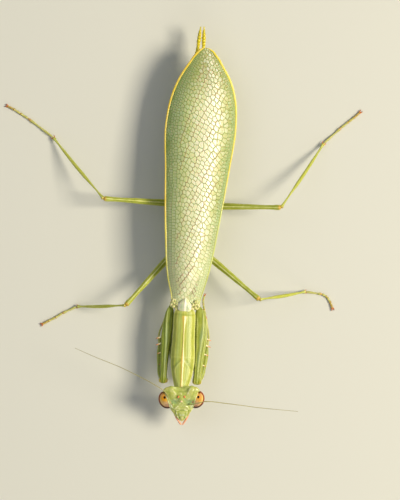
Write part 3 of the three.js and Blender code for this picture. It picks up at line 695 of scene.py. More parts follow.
def set_along(group, points, piece, forward, size, finish, target):
    """Ends a group: a piece on every point, its Z turned forward, made plain mesh with one finish."""
    seed = add_node(group, "GeometryNodeObjectInfo", {"Object": piece})
    turned = add_node(group, "FunctionNodeAlignRotationToVector", {"Vector": forward}, axis="Z")
    every = add_node(group, "GeometryNodeInstanceOnPoints",
                     {"Points": points, "Instance": seed.outputs["Geometry"], "Rotation": turned.outputs[0],
                      "Scale": size})
    real = add_node(group, "GeometryNodeRealizeInstances", {"Geometry": every.outputs[0]})
    done = add_node(group, "GeometryNodeSetMaterial", {"Geometry": real.outputs[0], "Material": finish})
    set_inputs(target, {0: done.outputs[0]})


def grown(name, base, group, **settings):
    """The plain mesh that a group makes from a base object, which is then thrown away."""
    modifier = base.modifiers.new(name, "NODES")
    modifier.node_group = group
    for item in group.interface.items_tree:
        if item.in_out == "INPUT" and item.name in settings:
            modifier[item.identifier] = settings[item.name]
    base.update_tag()
    bpy.context.view_layer.update()
    shape = base.evaluated_get(bpy.context.evaluated_depsgraph_get())
    mesh = bpy.data.meshes.new_from_object(shape)
    mesh.name = name
    bpy.data.objects.remove(base)
    return add_object(name, mesh)


segments_group, given, result = node_group(
    "segments_along", ("Segment", "Object"), ("Segments", "Int"), ("Length", "Float"), ("Finish", "Material"))
curve = add_node(segments_group, "GeometryNodeMeshToCurve", {"Mesh": given["Geometry"]})
even = add_node(segments_group, "GeometryNodeResampleCurve",
                {"Curve": curve.outputs[0], "Count": given["Segments"]})
thickness = add_node(segments_group, "GeometryNodeInputNamedAttribute", {"Name": "thickness"},
                     data_type="FLOAT")
measure = add_node(segments_group, "ShaderNodeCombineXYZ",
                   {0: thickness.outputs[0], 1: thickness.outputs[0], 2: given["Length"]})
tangent = add_node(segments_group, "GeometryNodeInputTangent")
set_along(segments_group, even.outputs[0], given["Segment"], tangent.outputs[0], measure.outputs[0],
          given["Finish"], result)


def segments_along(name, path, thickness, tint, segment, count, material, overlap):
    """One segment repeated along a path, each as thick as the path says there, as a plain mesh."""
    base = add_shape(name + "_path", path, edges=[(i, i + 1) for i in range(len(path) - 1)],
                     marks={"thickness": thickness * MM, "tint": tint})
    length = np.linalg.norm(np.diff(path, axis=0), axis=1).sum() * MM / (count - 1) * overlap
    return grown(name, base, segments_group, Segment=segment, Segments=count, Length=length, Finish=material)


def turned_profile(name, sides, *profile):
    """A closed turned shape about Z from (radius, height) pairs, in plain units, kept out of the scene."""
    corners, faces, _ = loft([[(r * math.cos(a), r * math.sin(a), h) for a in turns(sides)]
                              for r, h in profile])
    mesh = bpy.data.meshes.new(name)
    mesh.from_pydata(corners.tolist(), [], faces)
    mesh.shade_smooth()
    heights = corners[:, 2].astype(np.float32)
    mesh.attributes.new("height", "FLOAT", "POINT").data.foreach_set("value", heights)
    return bpy.data.objects.new(name, mesh)


feeler_horn = cuticle("tan_feeler_rings", "#aaa05a", "#c8bf80", "#786a36", pattern_mm=0.6, grain_mm=0.03,
                      roughness=0.45)
ring_cup = turned_profile("feeler_ring", 9, (0.8, -0.5), (0.92, -0.4), (0.95, 0.2), (1.05, 0.42), (0.85, 0.5))
FEELER_PATHS = {
    -1: ((-1.13, -7.85, 5.0), (-2.24, -7.24, 5.1), (-3.78, -6.58, 5.0), (-5.31, -6.0, 4.8),
         (-7.42, -5.35, 4.5), (-9.28, -4.71, 4.2)),
    1: ((2.49, -8.44, 4.85), (4.47, -8.47, 4.8), (7.31, -8.62, 4.5), (10.6, -8.69, 4.1)),
}
SOCKET_AT = (0.72, -1.5)
FEELER_RINGS = 118
for side, word in SIDES:
    z = face_height(side * SOCKET_AT[0], SOCKET_AT[1])
    # From the socket: how far out, how far on and how high the root, the knuckle and the first ring lie.
    steps = np.array(((0, 0, z - 0.05), (0.03, 0.02, z + 0.17), (0.1, 0.1, z + 0.32)))
    root, knuckle, first = carried(head_place, (steps + (*SOCKET_AT, 0)) * (side, 1, 1))
    scape = limb(path_through((root, knuckle), 14), ((0, 0.055), (0.35, 0.085), (0.8, 0.07), (1, 0.035)),
                 sides=18, up=(0, 1, 0), tint=-0.1, warmth=-0.3)
    bead = ellipsoid(tuple(knuckle + (first - knuckle) * 0.35), (0.055, 0.055, 0.06), tint=-0.1, warmth=-0.3)
    fit(add_piece("feeler_root_" + word, merged(scape, bead), head_cuticle), "feeler")
    path = path_through((knuckle, first, *FEELER_PATHS[side]), 160)
    run = np.linspace(0, 1, len(path))
    piece = segments_along("feeler_" + word, path, 0.044 - 0.027 * run**0.8, 0.3 - 0.9 * run, ring_cup,
                           FEELER_RINGS, feeler_horn, overlap=1.08)
    fit(piece, "feeler", "antenna_" + word)

# ---- mouthparts ----
# Under the lip are two hard biting jaws with brown tips, and beside them the rosy palps, which hang in a V
# below the mouth: soft jointed fingers that taste the food.
palp_skin = cuticle("rosy_palp_skin", "#f09a74", "#fabf9c", "#d9744e", pattern_mm=0.2, grain_mm=0.03,
                    roughness=0.35)
PALP_STOPS = ((0.64, -2.5, -0.5), (0.59, -2.78, -0.26), (0.47, -3.06, -0.1), (0.23, -3.5, -0.08),
              (0.05, -3.84, -0.12))
PALP_JOINTS = (0.38, 0.7)
run = np.linspace(0, 1, 60)
waist = 1 - 0.3 * bump_at(run, PALP_JOINTS[0], 0.025) - 0.25 * bump_at(run, PALP_JOINTS[1], 0.02)
girth = through((0, 0.1), (0.3, 0.1), (0.5, 0.088), (0.85, 0.084), (0.96, 0.062), (1, 0.02))(run) * waist
jaws = []
for side, word in SIDES:
    palp = limb(path_through(np.array(PALP_STOPS) * (side, 1, 1), 60), girth, flat=0.85, sides=18,
                tint=lambda s, a, t: 0.3 - 0.6 * bump_at(s, PALP_JOINTS[0], 0.05) + 0.4 * s)
    fit(add_piece("palp_" + word, palp, palp_skin, head_place), "palp", "palp_" + word)
    stops = np.array(((0.5, -2.35, -0.35), (0.42, -2.75, -0.36), (0.22, -3.15, -0.3), (0.03, -3.36, -0.22)))
    jaws.append(limb(path_through(stops * (side, 1, 1), 24), ((0, 0.2), (0.5, 0.19), (0.85, 0.1), (1, 0.02)),
                     flat=0.7, sides=16))
jaw_horn = cuticle("brown_tipped_jaw", "#c9b872", "#d8cf96", "#5f3a1c", pattern_mm=0.2, roughness=0.25)
jaws = merged(*jaws)
jaws[2]["tint"] = np.clip((jaws[0][:, 1] + 2.8) * 2.2, -1.2, 0.2)
fit(add_piece("jaws", jaws, jaw_horn, head_place), "body")

# ---- neck ----
# A short sleeve of soft pleated skin between the shield and the head.
NECK_PLEATS = 6
neck_run = np.linspace(0, 1, 44)
path = path_through(((0, -6.55, 3.35), (0, -6.9, 3.36), (0.02, -7.35, 3.5), (0.02, -7.75, 3.6)),
                    len(neck_run))
girth = 0.42 - 0.1 * neck_run + 0.02 * np.sin(neck_run * 2 * np.pi * NECK_PLEATS)
# Painted shade: the skin is darker overall, as it lies in the shade between the shield and the head, and
# darker still in the creases between its pleats.
neck = limb(path, girth, flat=0.85, sides=40,
            tint=lambda s, a, t: -0.2 + 0.5 * np.sin(s * 2 * np.pi * NECK_PLEATS))
fit(add_piece("neck_skin", neck, soft_cuticle, prothorax_place), "soft_body", "neck")

# ---- fore wings ----
# Two leathery covers, the right one over the left: thin waxy membrane bulging between a net of veins, stiff
# long veins that curve to the inner edge, and a thick yellow beam along the leading edge.
WING_LENGTH = 22.5
WING_CROWN = 4.9
WING_START = -0.16
costal_right = through((-0.16, 1.12), (0.5, 1.22), (1.9, 1.6), (6.3, 2.2), (11.5, 2.63), (15.9, 2.9),
                       (18.3, 2.54), (19.8, 2.0), (21, 1.33), (21.96, 0.71), (22.34, 0.35), (22.46, 0.17),
                       (22.5, 0.02))
costal_left = through((-0.16, 1.22), (0.5, 1.34), (2.2, 1.73), (7.5, 2.45), (12, 2.93), (16, 3.2),
                      (18.1, 2.98), (20, 2.3), (20.8, 1.78), (21.9, 0.98), (22.39, 0.42), (22.48, 0.2),
                      (22.5, 0.02))


def inner_edge(costal):
    """How far a fore wing reaches past the middle of the body, from the other wing's leading edge."""
    base = through((WING_START, -0.68), (0.04, -0.52), (0.24, -0.3), (0.46, 0.02), (1.0, 0.45), (1.9, 0.86),
                   (3, 1.25), (4, float(costal(4)) - 0.36))
    return lambda y: np.where(y < 4, base(y),
                              np.maximum(costal(y) - 0.36 * np.clip((22.4 - y) / 1.6, 0.25, 1), 0))


def soft_step(value, low, high):
    t = np.clip((value - low) / (high - low), 0, 1)
    return t * t * (3 - 2 * t)


def wing_roof(x, y):
    """The height of the folded wings: a low roof that falls away to the sides and towards the tip."""
    dip = 0.9 * (1 - soft_step(y, 0.2, 2.7))  # the wings come down to their hinges at the front
    return WING_CROWN - dip - 0.0035 * (y - 4) ** 2 - (0.14 + 0.2 * bump_at(y, 0, 5)) * x**2


# Where each long vein of the right wing crosses the wing at a fifth, a half and four fifths of its width.
LONG_VEINS = ((0.6, 1.75, 2.9), (0.9, 2.35, 4.4), (1.4, 3.5, 6.7), (3.15, 6.3, 10.4), (5.1, 9.6, 13.2),
              (7.9, 12.8, 17.2), (11, 16.25, 19.4), (13, 19.8, 21.3), (16.8, 21.2, 22.0))
ROWS_BETWEEN = (1, 1, 3, 3, 3, 3, 3, 2)  # rows of cells from each long vein to the next
STEM_ROWS = (0.088, 0.155)  # shares of the width at which two rows of small cells run beside the leading edge


def cell_rows(flip):
    """The middle of every row of cells in plan, with whether a long vein follows it."""

    def plan(share, y):
        low, high = -costal_right(y), costal_left(y)
        return np.stack([(high - (high - low) * share) if flip else (low + (high - low) * share), y], axis=-1)

    veins = np.array(LONG_VEINS)
    crossings = [(veins[0] - (0.25, 0.4, 0.6), True)]
    for number, count in enumerate(ROWS_BETWEEN):
        for k in range(count):
            between = veins[number] + (veins[number + 1] - veins[number]) * (k + 0.5) / count
            crossings.append((between, k == count - 1))
    crossings.append((veins[-1] + (1.2, 0.55, 0.25), False))
    rows = [(plan(share, np.linspace(0.3, 21.9, 300)), False) for share in STEM_ROWS]
    for (first, second, third), vein in crossings:
        share = np.linspace(0.2, 0.97, 160)
        y = through((0.12, first - (second - first) * 0.36), (0.2, first), (0.5, second), (0.8, third),
                    (0.97, third + (third - second) * 0.4))(share)
        rows.append((plan(share, y), vein))
    return rows


def walk(line, step_at):
    """Places a step apart along a polyline, and the way it runs there; the step may change on the way."""
    lengths = np.concatenate([[0], np.cumsum(np.linalg.norm(np.diff(line, axis=0), axis=1))])
    at, places = 0.0, []
    while at < lengths[-1]:
        here = np.array([np.interp(at, lengths, line[:, k]) for k in range(2)])
        ahead = np.array([np.interp(at + 0.02, lengths, line[:, k]) for k in range(2)])
        way = ahead - here
        places.append((here, way / max(np.linalg.norm(way), 1e-9)))
        at += step_at(here)
    return places


def wing_cells(edges, flip, coarse, seed):
    """The net in plan: corners, cells as corner loops, the cells beside each pair, and the long pairs."""
    chance = np.random.default_rng(seed)
    side = -1 if flip else 1
    # The net is laid out on a slant where its rungs and its long veins are the two axes.
    unslant = np.array(((0.74 * side, 0.45 * side), (-0.67, 0.89)))
    slant = np.linalg.inv(unslant)

    def spacing(p):
        low, high = -costal_right(p[1]), costal_left(p[1])
        share = (p[0] - low) / (high - low)
        share = 1 - share if flip else share
        size = np.interp(share, (0, 0.12, 0.2, 0.35, 0.75, 0.9, 1),
                         (0.23, 0.25, 0.32, 0.42, 0.43, 0.36, 0.27))
        return size * np.interp(p[1], (0, 3, 5, 16, 19, 22), (0.8, 0.9, 1, 1, 0.78, 0.6)) * coarse

    y = np.concatenate([np.linspace(WING_START + 0.02, 4, 160), np.linspace(4, WING_LENGTH - 0.01, 400)])
    low, high = edges(y)
    border = np.concatenate([np.stack([low, y], -1)[::-1], np.stack([high, y], -1)])
    points, owners = np.full((9000, 2), 99.0), []

    def nearest(p):
        """How far the nearest seed so far lies, on the slant."""
        gap = (points[: len(owners) + 1] - p) @ slant.T
        return np.min(np.hypot(gap[:, 0], gap[:, 1]))

    def add_seed(p, owner):
        points[len(owners)] = p
        owners.append(owner)

    def within(p, margin):
        low, high = edges(p[1])
        return low + margin < p[0] < high - margin and WING_START + 0.12 < p[1] < WING_LENGTH - 0.1

    ghosts = []
    for here, way in walk(np.concatenate([border, border[:1]]), lambda p: spacing(p) * 0.95):
        slanted = slant @ way / np.linalg.norm(slant @ way)
        aside = unslant @ np.array((-slanted[1], slanted[0])) * side * spacing(here) * 0.42
        if nearest(here + aside) > spacing(here) * 0.5:
            add_seed(here + aside, 0 if here[0] * side < 0 else None)
            ghosts.append(here - aside)
    stations = [-3.0]
    while stations[-1] < 24:
        step = np.interp(stations[-1], (0, 2.6, 4.5, 14, 17, 20), (0.28, 0.3, 0.34, 0.37, 0.3, 0.21)) * coarse
        stations.append(stations[-1] + step)
    stations = np.array(stations)
    vein_after = set()
    for number, (line, vein) in enumerate(cell_rows(flip), start=1):
        if vein:
            vein_after.add(number)
        if number <= len(STEM_ROWS):
            places = [here for here, way in walk(line, lambda p: spacing(p) * 0.95)]
        else:
            along = line @ slant[1]
            marks = np.interp(np.arange(len(stations)) + chance.random(), np.arange(len(stations)), stations)
            marks = marks + 0.035 * chance.standard_normal(len(marks))
            marks = marks[chance.random(len(marks)) > 0.1]
            marks = marks[(marks > along[0]) & (marks < along[-1])]
            places = [np.array([np.interp(mark, along, line[:, k]) for k in range(2)]) for mark in marks]
        for here in places:
            here = here + 0.03 * (number > len(STEM_ROWS)) * chance.standard_normal(2)
            if within(here, spacing(here) * 0.62) and nearest(here) > spacing(here) * 0.55:
                add_seed(here, number)
    for p in chance.uniform((-3.4, WING_START), (3.4, WING_LENGTH), (12000, 2)):
        if within(p, 0.12) and nearest(p) > spacing(p) * 0.85:
            add_seed(p, None)
    inner_count = len(owners)
    everything = [Vector(slant @ p) for p in [*points[:inner_count], *ghosts]]
    spots, _, triangles, origin = delaunay_2d_cdt(everything, [], [], 0, 1e-7)[:4]
    spots = np.array([tuple(p) for p in spots])
    source = [o[0] for o in origin]
    corners, around = [], {}
    for triangle in triangles:
        a, b, c = (spots[i] for i in triangle)
        d = 2 * ((b[0] - a[0]) * (c[1] - a[1]) - (b[1] - a[1]) * (c[0] - a[0]))
        bb, cc = ((b - a) ** 2).sum(), ((c - a) ** 2).sum()
        centre = a + np.array(((c[1] - a[1]) * bb - (b[1] - a[1]) * cc,
                               (b[0] - a[0]) * cc - (c[0] - a[0]) * bb)) / d
        for i in triangle:
            around.setdefault(source[i], []).append(len(corners))
        corners.append(centre)
    corners = np.array(corners) @ unslant.T
    cells, edge_owner = [], {}
    for cell in range(inner_count):
        loop = around.get(cell, [])
        offset = corners[loop] - points[cell]  # none for a cell that got no triangle
        if len(loop) < 3 or np.max(np.hypot(*offset.T)) > 1.7 * spacing(points[cell]):
            continue
        loop = [loop[i] for i in np.argsort(np.arctan2(offset[:, 1], offset[:, 0]))]
        cells.append(loop)
        for i, first in enumerate(loop):
            pair = tuple(sorted((first, loop[(i + 1) % len(loop)])))
            edge_owner.setdefault(pair, []).append(owners[cell])
    long_pairs = {pair for pair, both in edge_owner.items() if len(both) == 2 and None not in both
                  and abs(both[0] - both[1]) == 1 and min(both) in vein_after}
    return corners, cells, edge_owner, long_pairs


def net_wing(name, edges, flip, depth_at, materials, coarse=1.0, seed=5):
    """A wing as one closed shell: veins standing proud, membrane domed between them, a plain underside."""
    plan_corners, cells, edge_owner, long_pairs = wing_cells(edges, flip, coarse, seed)
    chance = np.random.default_rng(seed + 1)
    underside, even_shade = -0.03, 0.5
    spots, traits = [], []

    def corner(p, height, centred=0, vein=0, shade=even_shade):
        """Keeps a corner, and how high, how central, how far on a long vein and how pale it is."""
        spots.append(p)
        traits.append((height, centred, vein, shade))
        return len(spots) - 1

    width_of, ridge_of = {}, {}
    for pair in edge_owner:
        # Veins are stouter near the hinge.
        stout = float(np.interp(plan_corners[pair[0]][1], (2, 9), (0.004, 0)))
        width_of[pair] = (0.03 + stout) if pair in long_pairs else 0.02
        ridge_of[pair] = (0.034 + stout) if pair in long_pairs else 0.02
    at_corner = {}
    for pair in edge_owner:
        for c in pair:
            at_corner.setdefault(c, []).append(pair)
    top_corner, bottom_corner = {}, {}
    for c, pairs in at_corner.items():
        main = max(pair in long_pairs for pair in pairs)
        top_corner[c] = corner(plan_corners[c], max(ridge_of[p] for p in pairs), vein=float(main))
        bottom_corner[c] = corner(plan_corners[c], underside)
    top_edge, bottom_edge = {}, {}
    for pair in edge_owner:
        start, end = plan_corners[pair[0]], plan_corners[pair[1]]
        steps = max(1, int(np.linalg.norm(end - start) / 0.2))
        inside = [start + (end - start) * i / (steps + 1) for i in range(1, steps + 1)]
        top_edge[pair] = [corner(p, ridge_of[pair] * 0.9, vein=float(pair in long_pairs)) for p in inside]
        bottom_edge[pair] = [corner(p, underside) for p in inside]
    faces, finishes = [], []
    for loop in cells:
        outer, under, beside = [], [], []
        for i, first in enumerate(loop):
            second, before = loop[(i + 1) % len(loop)], loop[i - 1]
            pair, last = tuple(sorted((first, second))), tuple(sorted((before, first)))
            turn = -1 if first > second else 1
            top_run = [top_corner[first], *top_edge[pair][::turn]]
            under_run = [bottom_corner[first], *bottom_edge[pair][::turn]]
            outer += top_run
            under += under_run
            beside += [(pair, last)] + [(pair, pair)] * (len(top_run) - 1)
            if len(edge_owner[pair]) == 1:
                top_run.append(top_corner[second])
                under_run.append(bottom_corner[second])
                for k in range(len(top_run) - 1):
                    faces.append((top_run[k], under_run[k], under_run[k + 1], top_run[k + 1]))
                    finishes.append(1)
        boundary = np.array([spots[i] for i in outer])
        centre = boundary.mean(axis=0)
        x, y = boundary.T
        size = math.sqrt(max(1e-6, 0.5 * abs(np.sum(x * np.roll(y, -1) - y * np.roll(x, -1)))))

        def width_share(pair):
            """Half a vein's width, as a share of the way from it to the middle of the cell."""
            start, end = plan_corners[pair[0]], plan_corners[pair[1]]
            length = np.linalg.norm(end - start)
            if length < 0.03:
                return width_of[pair] / max(0.05, np.linalg.norm(centre - start))
            way = (end - start) / length
            aside = (centre[0] - start[0]) * way[1] - (centre[1] - start[1]) * way[0]
            return width_of[pair] / max(0.05, abs(aside))

        shares = np.minimum([(width_share(p) + width_share(q)) / 2 for p, q in beside], 0.55)
        shade = chance.random()
        dome = (0.008 + 0.014 * chance.random()) * min(1.3, size / 0.4)
        previous = outer
        # Three rings from the crest of the vein to the middle: how far in, how high or what share of the
        # crest's height, how central, and how far it is still the vein's colour and finish.
        for inwards, height, crest, centred, vein, finish in (
            (shares * 0.5, 0, 0.62, 0, 1, 1),
            (shares, 0, 0, 0.2, 0.8, 1),
            (shares + (1 - shares) * 0.4, dome * 0.8, 0, 0.8, 0.8, 0),
        ):
            ring = []
            for p, share, edge in zip(boundary, inwards, outer):
                edge_height, _, edge_vein, _ = traits[edge]
                ring.append(corner(p + (centre - p) * share, height + edge_height * crest, centred,
                                   edge_vein * vein, shade))
            for k in range(len(ring)):
                j = (k + 1) % len(ring)
                faces.append((previous[k], previous[j], ring[j], ring[k]))
                finishes.append(finish)
            previous = ring
        middle = corner(centre, dome, 1.0, shade=shade)
        for k in range(len(previous)):
            faces.append((previous[k], previous[(k + 1) % len(previous)], middle))
            finishes.append(0)
        faces.append(tuple(reversed(under)))
        finishes.append(0)
    used = np.unique([i for face in faces for i in face])
    renumber = np.full(len(spots), -1)
    renumber[used] = np.arange(len(used))
    x, y = np.array(spots)[used].T
    height, centred, vein, shade = np.array(traits, float)[used].T
    corners = np.stack([x, y, wing_roof(x, y) - depth_at(x, y) + height], axis=-1)
    across = (x + costal_right(y)) / (costal_left(y) + costal_right(y))
    marks = {"across": np.clip(across, 0, 1), "along": y / WING_LENGTH, "centre": centred, "tone": shade,
             "main": vein}
    piece = add_piece(name, (corners, [tuple(renumber[i] for i in face) for face in faces], marks),
                      materials[0])
    piece.data.materials.append(materials[1])
    piece.data.polygons.foreach_set("material_index", finishes)
    return piece


def wing_membrane(name, stops, tip_colour, base_colour, painted_highlight):
    """Waxy membrane: colour stops across it, a painted highlight on each cell's middle, and a greener tip."""
    material, tree, shader = new_finish(name)
    across, along, centre, tone = (add_node(tree, "ShaderNodeAttribute", attribute_name=mark).outputs["Fac"]
                                   for mark in ("across", "along", "centre", "tone"))
    place = add_node(tree, "ShaderNodeTexCoord").outputs["Object"]
    cloud = add_node(tree, "ShaderNodeTexNoise", {"Vector": place, "Scale": 1 / (1.1 * MM), "Detail": 3})
    wander = add_node(tree, "ShaderNodeMath", {0: cloud.outputs["Fac"], 1: 0.24, 2: -0.12},
                      operation="MULTIPLY_ADD")
    spread = add_node(tree, "ShaderNodeMath", {0: across, 1: wander.outputs[0]}, operation="ADD")
    ramp = add_node(tree, "ShaderNodeValToRGB", {"Fac": spread.outputs[0]})
    set_stops(ramp, *stops)
    lit = add_node(tree, "ShaderNodeMath", {0: tone, 1: centre}, operation="MULTIPLY")
    # The painted highlight of a cell grows across the wing towards the light, then fades by the inner edge.
    for start, full, least, most in ((0.2, 0.65, 0.12, 0.75), (0.8, 0.93, 1, 0.2)):
        share = add_node(tree, "ShaderNodeMapRange",
                         {"Value": across, "From Min": start, "From Max": full, "To Min": least,
                          "To Max": most})
        lit = add_node(tree, "ShaderNodeMath", {0: lit.outputs[0], 1: share.outputs[0]}, operation="MULTIPLY")
    colour = layered(tree, ramp.outputs["Color"], (tip_colour, along, 0.74, 0.97, 0.75, "SMOOTHSTEP"),
                     (base_colour, along, 0.5, 0.04, 0.7, "SMOOTHSTEP"), ("#a9b56c", centre, 0.16, 0, 0.3),
                     (painted_highlight, lit.outputs[0]))
    wrinkle = add_node(tree, "ShaderNodeTexNoise", {"Vector": place, "Scale": 1 / (0.09 * MM), "Detail": 2})
    bump = add_node(tree, "ShaderNodeBump",
                    {"Height": wrinkle.outputs["Fac"], "Strength": 0.3, "Distance": 0.012 * MM})
    set_inputs(shader, {"Base Color": colour, "Normal": bump.outputs["Normal"], "Roughness": 0.33, "IOR": 1.5,
                        "Subsurface Weight": 0.15, "Subsurface Scale": 0.2 * MM, "Coat Weight": 0.3,
                        "Coat Roughness": 0.22})
    return material


def wing_vein(name, cross_colour, shade_colour, main_colour, root_colour):
    """Vein horn: olive cross veins, greener by the leading edge, and long veins, pinkish near the hinge."""
    material, tree, shader = new_finish(name)
    across, along, main = (add_node(tree, "ShaderNodeAttribute", attribute_name=mark).outputs["Fac"]
                           for mark in ("across", "along", "main"))
    place = add_node(tree, "ShaderNodeTexCoord").outputs["Object"]
    cloud = add_node(tree, "ShaderNodeTexNoise", {"Vector": place, "Scale": 1 / (0.5 * MM), "Detail": 3})
    long_vein = layered(tree, main_colour, (root_colour, along, 0.4, 0.1, 1))
    colour = layered(tree, cross_colour, (shade_colour, across, 0.45, 0.05, 1),
                     ("#c6ce92", along, 0.3, 0.08, 0.8),
                     (long_vein, main), ("#7f9148", cloud.outputs["Fac"], 0.35, 0.7, 0.4))
    set_inputs(shader, {"Base Color": colour, "Roughness": 0.4})
    return material


# The stops carry some painted shade: the right wing darkens towards its leading edge, which slopes away from
# the light, and both wings darken beside the right wing's inner edge.
membrane_right = wing_membrane(
    "cream_wing_membrane",
    ((0.0, "#8ca250"), (0.1, "#b2bd82"), (0.18, "#b9c586"), (0.28, "#cbd388"), (0.42, "#e5e5ac"),
     (0.6, "#ece6c2"), (0.76, "#e6dfae"), (0.84, "#cacb8a"), (0.96, "#a2b068")),
    "#909a4a", "#dcdcae", "#fffceb")
membrane_left = wing_membrane(
    "green_wing_membrane", ((0.0, "#b9c989"), (0.12, "#b4c585"), (0.5, "#c6d09c"), (1.0, "#9db373")),
    "#a9b56a", "#e0e3b8", "#e4e8bc")
vein_right = wing_vein("right_wing_veins", "#868c3c", "#759a4a", "#a8905e", "#ad8e6e")
vein_left = wing_vein("left_wing_veins", "#93a65e", "#93a65e", "#a39c66", "#b08c76")
right_inner, left_inner = inner_edge(costal_left), inner_edge(costal_right)


def right_edges(y):
    return -costal_right(y), right_inner(y)


def left_edges(y):
    return -left_inner(y), costal_left(y)


def right_depth(x, y):
    """The right wing dips a little to meet the left one at its inner edge."""
    return 0.04 + 0.2 * soft_step(x - right_inner(y), -1.0, 0.0)


def left_depth(x, y):
    return 0.6 - 0.24 * soft_step(x - costal_left(y), -1.4, -0.4)


piece = net_wing("fore_wing_left", left_edges, True, left_depth, (membrane_left, vein_left), coarse=1.15,
                 seed=11)
fit(piece, "tegmen", "tegmen_left")
piece = net_wing("fore_wing_right", right_edges, False, right_depth, (membrane_right, vein_right), seed=4)
fit(piece, "tegmen", "tegmen_right")

# The leading edge of each wing is a solid beam of yellow cuticle.
beam_horn = cuticle("yellow_wing_edge", "#f4dd48", "#fbf2a0", "#cdb02c", warm="#dba31c", cool="#c2cf7c",
                    pattern_mm=0.9, grain_mm=0.05, roughness=0.3)


def beam_place(run):
    """How far back a place on a beam lies; its rings come closer together towards the tip."""
    return WING_LENGTH - (WING_LENGTH - WING_START) * (1 - run) ** 1.5


# For each wing, how far back its beam is still green, and how warm its yellow is. The right beam's warmer,
# darker gold is partly painted shade, as it lies on the side away from the light.
for side, word, costal, depth, green_until, warm in (
    (-1, "right", costal_right, right_depth, 4, 0.35),
    (1, "left", costal_left, left_depth, 8, 0.0),
):
    y = beam_place(np.linspace(0, 1, 260))
    x = side * costal(y)
    beam = limb(np.stack([x, y, wing_roof(x, y) - depth(x, y)], axis=-1),
                ((0, 0.05), (0.05, 0.07), (0.45, 0.08), (0.6, 0.095), (0.85, 0.1), (0.97, 0.07), (1, 0.02)),
                flat=0.8, sides=14,
                green=lambda s, a, t: np.clip(1 - (beam_place(s) - green_until) / 4, 0, 1))
    green = beam[2].pop("green")
    beam[2].update(tint=0.1 - 0.2 * green, warmth=warm - 0.9 * green)
    fit(add_piece("wing_edge_" + word, beam, beam_horn), "tegmen")

# ---- front legs ----
# Folded grasping legs: a long hip under the shield, a bladed thigh with bands along it, a hooked shin folded
# back against its teeth, and a thin five-jointed foot carried along the outside. Teeth and hook have hard
# orange tips.
points_group, given, result = node_group("spines_along", ("Spine", "Object"), ("Finish", "Material"))
way = add_node(points_group, "GeometryNodeInputNamedAttribute", {"Name": "way"}, data_type="FLOAT_VECTOR")
reach = add_node(points_group, "GeometryNodeInputNamedAttribute", {"Name": "reach"}, data_type="FLOAT")
spread = add_node(points_group, "GeometryNodeMeshToPoints", {"Mesh": given["Geometry"]})
set_along(points_group, spread.outputs[0], given["Spine"], way.outputs[0], reach.outputs[0], given["Finish"],
          result)


def spines_along(name, spine, material, *spines):
    """One spine shape set at each root, pointing its way, as long as its reach."""
    roots, ways, reaches = zip(*spines)
    base = add_shape(name + "_roots", roots, marks={"way": ways, "reach": np.array(reaches) * MM})
    return grown(name, base, points_group, Spine=spine, Finish=material)


def tipped_horn(name, root, middle, tip, start):
    """Hard horn that changes colour from root to tip by the mark 'height'."""
    material, tree, shader = new_finish(name)
    height = add_node(tree, "ShaderNodeAttribute", attribute_name="height").outputs["Fac"]
    place = add_node(tree, "ShaderNodeTexCoord").outputs["Object"]
    cloud = add_node(tree, "ShaderNodeTexNoise", {"Vector": place, "Scale": 1 / (0.1 * MM)})
    wander = add_node(tree, "ShaderNodeMath", {0: cloud.outputs["Fac"], 1: 0.2, 2: -0.1},
                      operation="MULTIPLY_ADD")
    level = add_node(tree, "ShaderNodeMath", {0: height, 1: wander.outputs[0]}, operation="ADD")
    ramp = add_node(tree, "ShaderNodeValToRGB", {"Fac": level.outputs[0]})
    set_stops(ramp, (start * 0.6, root), (start + 0.15, middle), (1, tip))
    set_inputs(shader, {"Base Color": ramp.outputs["Color"], "Roughness": 0.28})
    return material


tooth_horn = tipped_horn("orange_tipped_tooth", "#f3edc4", "#f0a860", "#c8431a", start=0.5)
claw_horn = tipped_horn("orange_claw", "#d98a35", "#c4601f", "#5a2410", start=0.3)
hook_horn = tipped_horn("green_hook", "#a9b056", "#c8a14a", "#7a2c12", start=0.62)
tooth_shape = turned_profile("tooth", 8, (0.18, -0.1), (0.16, 0.1), (0.12, 0.4), (0.08, 0.75), (0.015, 1.0))
grasp_cuticle = cuticle("banded_green_leg", "#a1ab38", "#d6da94", "#667d1a", warm="#d8b32e", cool="#829f70",
                        pattern_mm=0.2, grain_mm=0.05, roughness=0.42, stretch=3.5)
foot_skin = cuticle("tan_green_foot", "#bdb75a", "#dcd892", "#8d8437", warm="#c9772a", cool="#9fae5a",
                    pattern_mm=0.25, grain_mm=0.04, roughness=0.4)
# Root and tip of each long tooth in plan, from the rear to the front.
THIGH_TEETH = (((2.04, -2.52), (2.46, -2.68)), ((1.98, -3.08), (2.45, -3.26)), ((1.9, -3.88), (2.28, -4.0)),
               ((1.78, -4.84), (2.1, -4.96)))
SHORT_TEETH, SHIN_TEETH = 15, 12
THIGH_LENGTH = 6.9
THIGH_START = 0.32
thigh_middle = {-1: through((0, 1.24), (0.2, 1.39), (0.4, 1.51), (0.62, 1.59), (0.97, 1.63)),
                1: through((0, 1.22), (0.1, 1.36), (0.35, 1.51), (0.5, 1.49), (0.8, 1.38), (1, 1.34))}
thigh_crest = through((0, 0.95), (0.1, 0.65), (0.28, 0.34), (0.5, 0.08), (0.7, 0), (1, 0.02))
thigh_half = through((0, 0.1), (0.03, 0.26), (0.09, 0.42), (0.2, 0.52), (0.32, 0.57), (0.42, 0.55),
                     (0.5, 0.51), (0.62, 0.44), (0.8, 0.39), (0.9, 0.365), (0.955, 0.4), (0.985, 0.34),
                     (1, 0.2))
thigh_high = through((0, 0.12), (0.04, 0.2), (0.2, 0.27), (0.8, 0.27), (0.95, 0.25), (1, 0.12))
